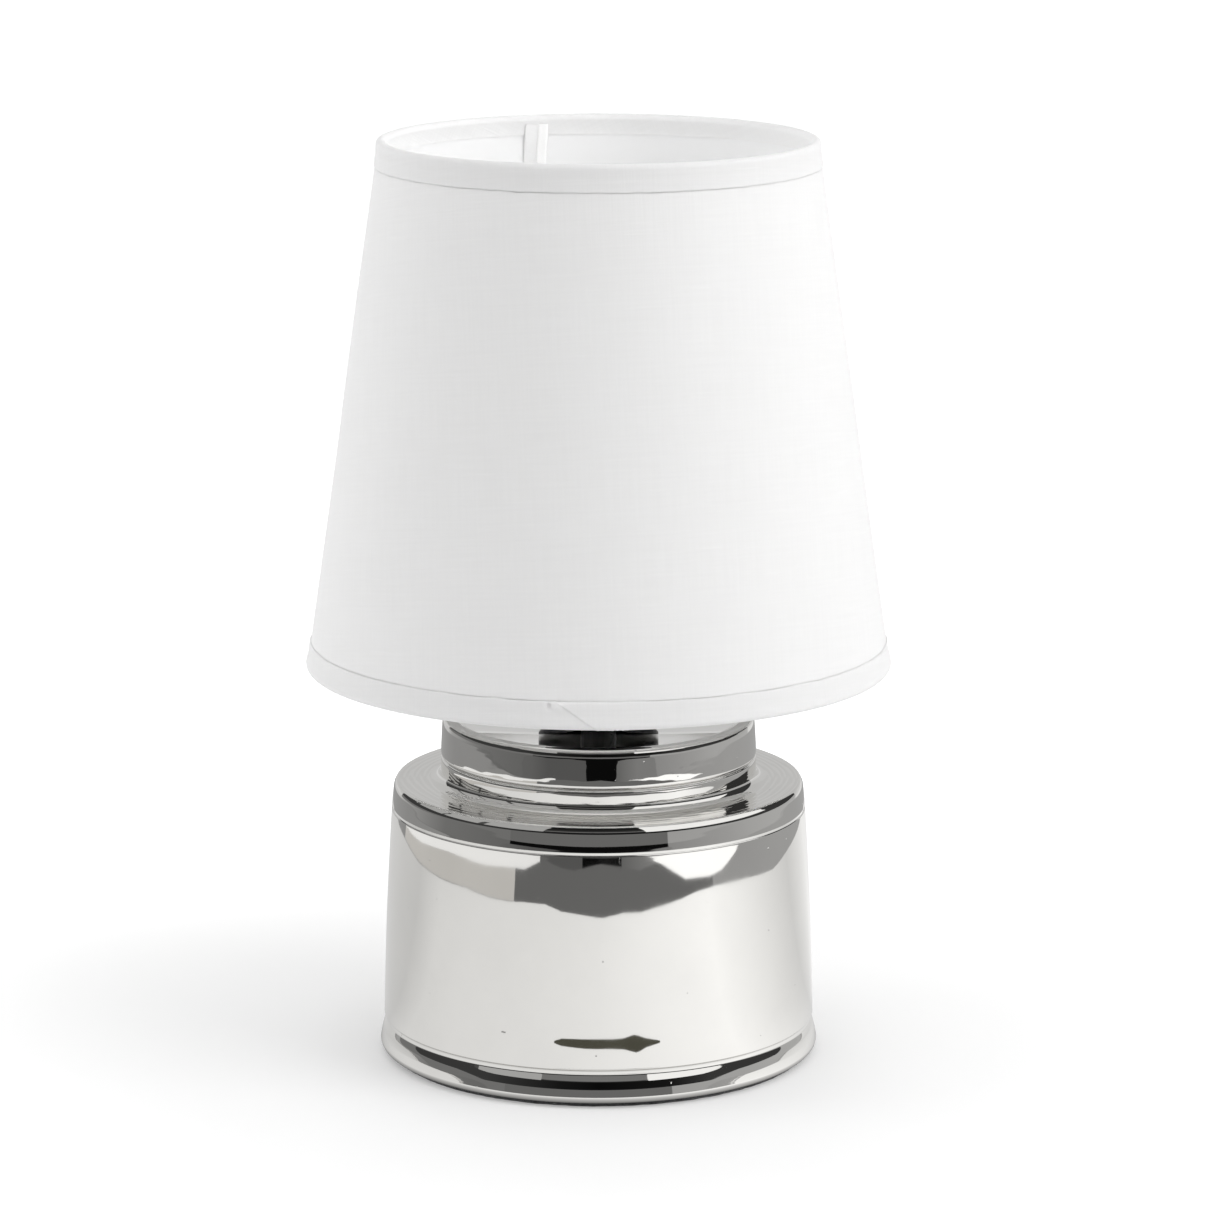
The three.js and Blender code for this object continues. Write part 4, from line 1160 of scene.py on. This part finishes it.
def make_card(name, lights, edges, heights, fades=(1.0, 1.0), tone=(1.0, 1.0, 1.0)):
    """Card that only the mirror sees, lying or standing round the lamp.

    lights are (azimuth, level) stops. The two edges are lines of (azimuth, distance) stops, in
    millimetres as the two heights are. fades dim the card along each edge.
    """
    start, end = lights[0][0], lights[-1][0]
    marks = set(spread(start, end, max(2, round((end - start) / 1.5))))
    marks.update(azimuth for azimuth, _ in lights)
    bm = bmesh.new()
    layer = bm.verts.layers.float_color.new(CARD_LIGHT)
    rows = []
    for azimuth in sorted(marks):
        row = []
        for edge, height, fade in zip(edges, heights, fades):
            vertex = bm.verts.new(card_point(azimuth, level_at(edge, azimuth) * MM, height * MM))
            level = level_at(lights, azimuth) * fade
            vertex[layer] = (tone[0] * level, tone[1] * level, tone[2] * level, 1.0)
            row.append(vertex)
        rows.append(row)
    for first, second in zip(rows, rows[1:]):
        bm.faces.new((first[0], second[0], second[1], first[1]))
    studio_object(name, bm, finish_of("studio_card"), True)


def even_edge(distance):
    return [(-180, distance), (180, distance)]


TABLE_EDGE = [
    (-180, 340), (-135, 345), (-125, 350), (-108, 349), (-89, 365), (-71, 387), (-57, 394), (-44, 408),
    (-38, 417), (-27, 424), (-18, 403), (-7, 399), (2, 395), (12, 403), (21, 399), (30, 409), (50, 418),
    (62, 409), (80, 387), (102, 349), (110, 347), (135, 340), (180, 340),
]
DARK_EDGE = [
    (-180, 590), (-48, 600), (-34, 590), (-20, 560), (-12, 552), (2, 588), (9, 580), (21, 548), (30, 556),
    (45, 590), (180, 590),
]
# Painted light and shade of the white sheet as the mirror shows it: brightest to the right, towards the key
# lamp, and darker on the left
SHEET_LIGHT = [
    (-180, 0.72), (-152, 0.69), (-135, 0.69), (-105, 0.65), (-87, 0.8), (0, 0.95), (57, 1.17), (116, 0.74),
    (144, 0.98), (180, 0.76),
]
WEDGE_EDGE = [
    (-180, 620), (-56, 620), (-48, 1000), (-36, 930), (-14, 850), (-9, 800), (-7, 575), (2, 592), (11, 584),
    (13, 800), (25, 850), (38, 930), (42, 620), (180, 620),
]
WALL_DISTANCE = 1250
# Rows of the room's wall as (low height, high height in metres, stops). In the two higher rows the band from
# 26 to 106 degrees glows brighter than white, a painted reflection of the key lamp
WALL_LIGHTS = [
    (0.028, 0.145, [
        (-180, 0.69), (-140, 0.69), (-139, 0.19), (-48, 0.19), (-47.7, 0.16), (37, 0.16), (37.3, 0.4),
        (106, 0.47), (139, 0.47), (140, 0.69), (180, 0.69),
    ]),
    (0.145, 0.39, [
        (-180, 0.61), (-140, 0.61), (-139, 0.05), (-60, 0.045), (-20, 0.01), (0, 0.004), (37, 0.01),
        (60, 0.045), (139, 0.04), (140, 0.61), (180, 0.61),
    ]),
    (0.39, 0.8, [
        (-180, 0.58), (-136, 0.58), (-135, 0.45), (-122, 0.45), (-121.7, 0.1), (-119, 0.1), (-118.7, 0.45),
        (-97, 0.45), (-96.7, 0.12), (-95, 0.12), (-94.7, 0.45), (-70, 0.45), (-69.7, 0.08), (-66, 0.08),
        (-65.7, 0.45), (-30.3, 0.45), (-30, 0.035), (25.7, 0.035), (26, 1.07), (106, 1.07), (106.3, 0.04),
        (139, 0.04), (140, 0.58), (180, 0.58),
    ]),
    (0.8, 2.2, [
        (-180, 0.5), (-135, 0.45), (-30.3, 0.45), (-30, 0.015), (25.7, 0.015), (26, 1.07), (106, 1.07),
        (106.3, 0.04), (139, 0.04), (140, 0.5), (180, 0.5),
    ]),
]


def make_table_cards():
    """What the mirror shows of the table: the white sheet, its shade round the foot, a blot and a spot."""
    # Rings of painted shade round the foot, darkest next to it, for the shadow that the mirror shows there
    rings = [(61.5, 0.06), (62.8, 0.22), (64.5, 0.42), (67.5, 0.66), (71.5, 0.84), (78.0, 0.96), (90.0, 1.0)]
    for i, ((near, low), (far, high)) in enumerate(zip(rings, rings[1:])):
        edges = (even_edge(near), even_edge(far))
        make_card(f"foot_shade_ring_{i + 1}", SHEET_LIGHT, edges, (0.3, 0.3), (low, high))
    make_card("table_sheet", SHEET_LIGHT, (even_edge(90.0), TABLE_EDGE), (0.3, 0.3))
    near = [(-18, 134), (-15, 131), (-5, 129), (6, 129), (10, 128), (15, 123), (19, 129), (25, 133)]
    far = [(-18, 137), (-15, 141), (-5, 142), (5, 142), (10, 143), (15, 148), (19, 142), (25, 136)]
    make_card("blot", [(-18, 0.08), (25, 0.08)], (near, far), (0.6, 0.6), tone=(1.0, 0.97, 0.75))
    make_card("spot", [(-41, 0.3), (-39, 0.3)], (even_edge(137), even_edge(139)), (0.6, 0.6))


def make_room_cards():
    """What the mirror shows beyond the table: sheets of board, a bright patch and a dim room."""
    board = [(-125, 372), (-108, 394), (-84, 445), (-62, 477), (-44, 505)]
    strip = [(-125, 385), (-108, 433), (-84, 496), (-52, 568), (-30, 596)]
    middle = [
        (-180, 0.4), (-126, 0.3), (-43, 0.3), (-42.7, 0.15), (60, 0.16), (60.3, 0.35), (110, 0.4),
        (180, 0.4),
    ]
    wedge = [
        (-180, 0.4), (-132, 0.33), (-90, 0.17), (-48, 0.14), (-36, 0.105), (-8.5, 0.105), (-8, 0.004),
        (11.5, 0.004), (12, 0.15), (27, 0.24), (38, 0.24), (60, 0.3), (90, 0.45), (180, 0.4),
    ]
    beyond = [
        (-180, 0.69), (-140, 0.6), (-132, 0.4), (-90, 0.19), (-48, 0.15), (-47.7, 0.004), (37, 0.004),
        (37.3, 0.3), (90, 0.45), (136, 0.5), (140, 0.82), (180, 0.7),
    ]
    wall = even_edge(WALL_DISTANCE)
    make_card("floor_middle", middle, (TABLE_EDGE, DARK_EDGE), (0.3, 0.3))
    make_card("floor_wedge", wedge, (DARK_EDGE, WEDGE_EDGE), (0.3, 0.3))
    make_card("floor_beyond", beyond, (WEDGE_EDGE, wall), (0.3, 28.0))
    brown = [(-125, 0.6), (-43, 0.6)]
    make_card("brown_board", brown, (TABLE_EDGE, board), (0.7, 0.7), tone=(1.0, 0.975, 0.94))
    white = [(-125, 0.98), (-30, 0.98)]
    make_card("light_board", white, (board + [(-38, 515), (-30, 560)], strip), (0.8, 0.8))
    # A card that glows brighter than white, a painted reflection of a bright light on the right
    near = [(21, 604), (33, 539), (45, 463), (59, 440), (66, 446), (78, 486)]
    far = [(21, 606), (40, 610), (60, 590), (70, 540), (78, 490)]
    make_card("bright_patch", [(21, 1.3), (78, 1.3)], (near, far), (1.0, 1.0))
    before_wall = even_edge(WALL_DISTANCE - 5)
    make_card("room_strip", [(-30, 0.2), (25.7, 0.2)], (before_wall, before_wall), (470.0, 570.0))
    for i, (low, high, lights) in enumerate(WALL_LIGHTS):
        make_card(f"room_wall_{i + 1}", lights, (wall, wall), (low / MM, high / MM))


def make_floor(studio):
    """Pale floor that keeps the lamp's shadow. What is seen of it glows, and more so far out."""
    bm = bmesh.new()
    reach = studio.floor_reach
    corners = [bm.verts.new((x * reach, y * reach, 0.0)) for x, y in ((-1, -1), (1, -1), (1, 1), (-1, 1))]
    bm.faces.new(corners)
    finish = Finish("studio_floor", Roughness=1.0, Specular_IOR_Level=0.0, Emission_Strength=1.0)
    distance = finish.node("ShaderNodeVectorMath", {"operation": "LENGTH"}, {0: finish.place()}, 1)
    glow = distance.ramp(0.1, 0.4, studio.floor_glow, studio.far_floor_glow)
    finish.set(Base_Color=(*studio.floor_colour, 1.0), Emission_Color=finish.seen() * glow)
    studio_object("studio_floor", bm, finish.material)


def make_world(studio):
    """Even sky light. Camera, mirror and glass see it a little brighter."""
    world = bpy.data.worlds.new("studio_sky")
    bpy.context.scene.world = world
    world.use_nodes = True
    graph = Graph(world.node_tree)
    values = {"Value": graph.seen(), "To Min": studio.sky_strength, "To Max": 1.0}
    strength = graph.node("ShaderNodeMapRange", {}, values)
    graph.end("ShaderNodeOutputWorld", graph.node("ShaderNodeBackground", {}, {"Strength": strength}))


def add_lamp(name, kind, place, power):
    """A lamp that the mirror doesn't see, because it sees the cards in its place."""
    light = bpy.data.lights.new(name, kind)
    light.energy = power
    made = add_object(name, light)
    made.location = place
    made.visible_glossy = False
    return made


def make_softbox(name, azimuth, distance, height, size, power):
    """Square lamp that faces the lower part of the shade."""
    place = Vector(card_point(azimuth, distance, height))
    made = add_lamp(name, "AREA", place, power)
    made.data.shape = "SQUARE"
    made.data.size = size
    aim = Vector(LIGHT_AIM) - place
    made.rotation_mode = "QUATERNION"
    made.rotation_quaternion = aim.to_track_quat("-Z", "Y")


def make_inner_lamp(power):
    """Small soft lamp inside the shade, for the light that the real sheets let in."""
    made = add_lamp("inner_lamp", "POINT", INNER_LAMP_PLACE, power)
    made.data.shadow_soft_size = INNER_LAMP_SIZE


def make_camera():
    """Long lens that looks down on the lamp, as in the photograph."""
    camera = bpy.data.cameras.new("camera")
    camera.lens = CAMERA_LENS
    camera.sensor_width = CAMERA_SENSOR
    camera.shift_x = CAMERA_SHIFT
    made = add_object("camera", camera)
    made.location = CAMERA_PLACE
    made.rotation_euler = (radians(90.0 - CAMERA_DOWN), 0.0, 0.0)
    bpy.context.scene.camera = made


# Settings


def amount(name, description, default, unit="NONE"):
    return bpy.props.FloatProperty(name=name, description=description, default=default, unit=unit)


def colour(name, description, default):
    settings = {"name": name, "description": description, "default": default}
    return bpy.props.FloatVectorProperty(size=3, subtype="COLOR", **settings)


class LampSizes(bpy.types.PropertyGroup):
    """Small sizes of the dressed pieces that a user may change."""

    glaze_ripple: amount("Glaze ripple", "Height of the slow waves in the glaze", 0.00001, "LENGTH")
    cover_unevenness: amount("Cover unevenness", "How far the cover strays from a cone", 0.00025, "LENGTH")
    hem_pucker: amount("Hem pucker", "Height of the puckers in the hem tapes", 0.00022, "LENGTH")


class LampColours(bpy.types.PropertyGroup):
    """Colours of the lamp's finishes."""

    glaze: colour("Glaze", "Colour of the mirror glaze", (0.8, 0.79, 0.765))
    fabric: colour("Fabric", "Colour of the cover", (0.92, 0.915, 0.91))
    liner: colour("Liner", "Colour of the lining sheet", (0.96, 0.962, 0.965))
    plastic: colour("Plastic", "Colour of the white plastic", (0.84, 0.83, 0.8))
    phenolic: colour("Phenolic", "Colour of the holder", (0.02, 0.02, 0.022))
    enamel: colour("Enamel", "Colour of the enamelled wire", (0.82, 0.82, 0.81))
    opal: colour("Opal", "Colour of the globe", (0.9, 0.895, 0.875))


class StudioSettings(bpy.types.PropertyGroup):
    """Floor and light of the studio."""

    floor_colour: colour("Floor", "Colour of the floor", (0.8, 0.8, 0.8))
    floor_reach: amount("Floor reach", "Half the floor's width", 6.0, "LENGTH")
    floor_glow: amount("Floor glow", "White added to the floor round the lamp for the camera", 0.22)
    far_floor_glow: amount("Far floor glow", "White added to the floor far out for the camera", 0.6)
    sky_strength: amount("Sky strength", "Even light from all round", 0.87)
    key_power: amount("Key power", "Power of the lamp on the right", 5.6, "POWER")
    fill_power: amount("Fill power", "Power of the lamp on the left", 3.6, "POWER")
    back_power: amount("Back power", "Power of the lamp behind", 1.6, "POWER")
    inner_power: amount("Inner power", "Power of the small lamp inside the shade", 0.036, "POWER")
    top_power: amount("Top power", "Power of the lamp overhead", 2.0, "POWER")


# Operators


class LAMP_OT_camera(bpy.types.Operator):
    """Places the camera"""

    bl_idname = "lamp.camera"
    bl_label = "Camera"

    def execute(self, context):
        make_camera()
        return {"FINISHED"}


class LAMP_OT_base(bpy.types.Operator):
    """Builds the glazed base with its pad and gland"""

    bl_idname = "lamp.base"
    bl_label = "Base"

    def execute(self, context):
        make_base()
        make_pad()
        make_gland()
        return {"FINISHED"}


class LAMP_OT_holder(bpy.types.Operator):
    """Builds the lamp holder, its neck cap and the clamping ring"""

    bl_idname = "lamp.holder"
    bl_label = "Holder"

    def execute(self, context):
        make_neck_cap()
        make_holder_cup()
        make_holder_skirt()
        make_shade_ring()
        return {"FINISHED"}


class LAMP_OT_bulb(bpy.types.Operator):
    """Builds the bulb's globe and collar"""

    bl_idname = "lamp.bulb"
    bl_label = "Bulb"

    def execute(self, context):
        make_globe()
        make_collar()
        return {"FINISHED"}


class LAMP_OT_shade(bpy.types.Operator):
    """Builds the shade: lining, cover, hems, seam tape and fitter"""

    bl_idname = "lamp.shade"
    bl_label = "Shade"

    def execute(self, context):
        make_shade()
        make_fitter()
        return {"FINISHED"}


class LAMP_OT_kept_nodes(bpy.types.Operator):
    """Gives each CAD node that still shows the finish of its slot"""

    bl_idname = "lamp.kept_nodes"
    bl_label = "Kept CAD nodes"

    def execute(self, context):
        slots = {part["node"]: part["material_slot"] for part in frame["record"]["subparts"]}
        for name, node in frame["nodes"].items():
            if not node.hide_render:
                node.data.materials.clear()
                node.data.materials.append(finish_of(slots[name]))
        return {"FINISHED"}


class LAMP_OT_studio(bpy.types.Operator):
    """Builds the floor, the sky, the lamps and the cards that the mirror shows"""

    bl_idname = "lamp.studio"
    bl_label = "Studio"

    def execute(self, context):
        studio = context.scene.lamp_studio
        make_floor(studio)
        make_world(studio)
        make_table_cards()
        make_room_cards()
        make_softbox("key_lamp", *KEY_LAMP, studio.key_power)
        make_softbox("fill_lamp", *FILL_LAMP, studio.fill_power)
        make_softbox("back_lamp", *BACK_LAMP, studio.back_power)
        make_inner_lamp(studio.inner_power)
        make_softbox("top_lamp", *TOP_LAMP, studio.top_power)
        return {"FINISHED"}


class LAMP_PT_panel(bpy.types.Panel):
    """Lists the lamp's pieces and settings"""

    bl_idname = "LAMP_PT_panel"
    bl_label = "Table Lamp"
    bl_space_type = "VIEW_3D"
    bl_region_type = "UI"
    bl_category = "Lamp"

    def draw(self, context):
        for operator in OPERATORS:
            self.layout.operator(operator.bl_idname)
        for owner in GROUPS:
            group = getattr(context.scene, owner)
            for name in group.__annotations__:
                self.layout.prop(group, name)


OPERATORS = (
    LAMP_OT_camera,
    LAMP_OT_base,
    LAMP_OT_holder,
    LAMP_OT_bulb,
    LAMP_OT_shade,
    LAMP_OT_kept_nodes,
    LAMP_OT_studio,
)
GROUPS = {"lamp_sizes": LampSizes, "lamp_colours": LampColours, "lamp_studio": StudioSettings}
CLASSES = (*GROUPS.values(), *OPERATORS, LAMP_PT_panel)


def register():
    for item in CLASSES:
        bpy.utils.register_class(item)
    for owner, group in GROUPS.items():
        setattr(bpy.types.Scene, owner, bpy.props.PointerProperty(type=group))


def unregister():
    for owner in GROUPS:
        delattr(bpy.types.Scene, owner)
    for item in reversed(CLASSES):
        bpy.utils.unregister_class(item)


def main():
    register()
    bpy.context.scene.view_settings.view_transform = "Standard"
    bpy.ops.lamp.camera()
    bpy.ops.lamp.base()
    bpy.ops.lamp.holder()
    bpy.ops.lamp.bulb()
    bpy.ops.lamp.shade()
    bpy.ops.lamp.kept_nodes()
    bpy.ops.lamp.studio()
    bpy.context.view_layer.update()


if __name__ == "__main__":
    main()
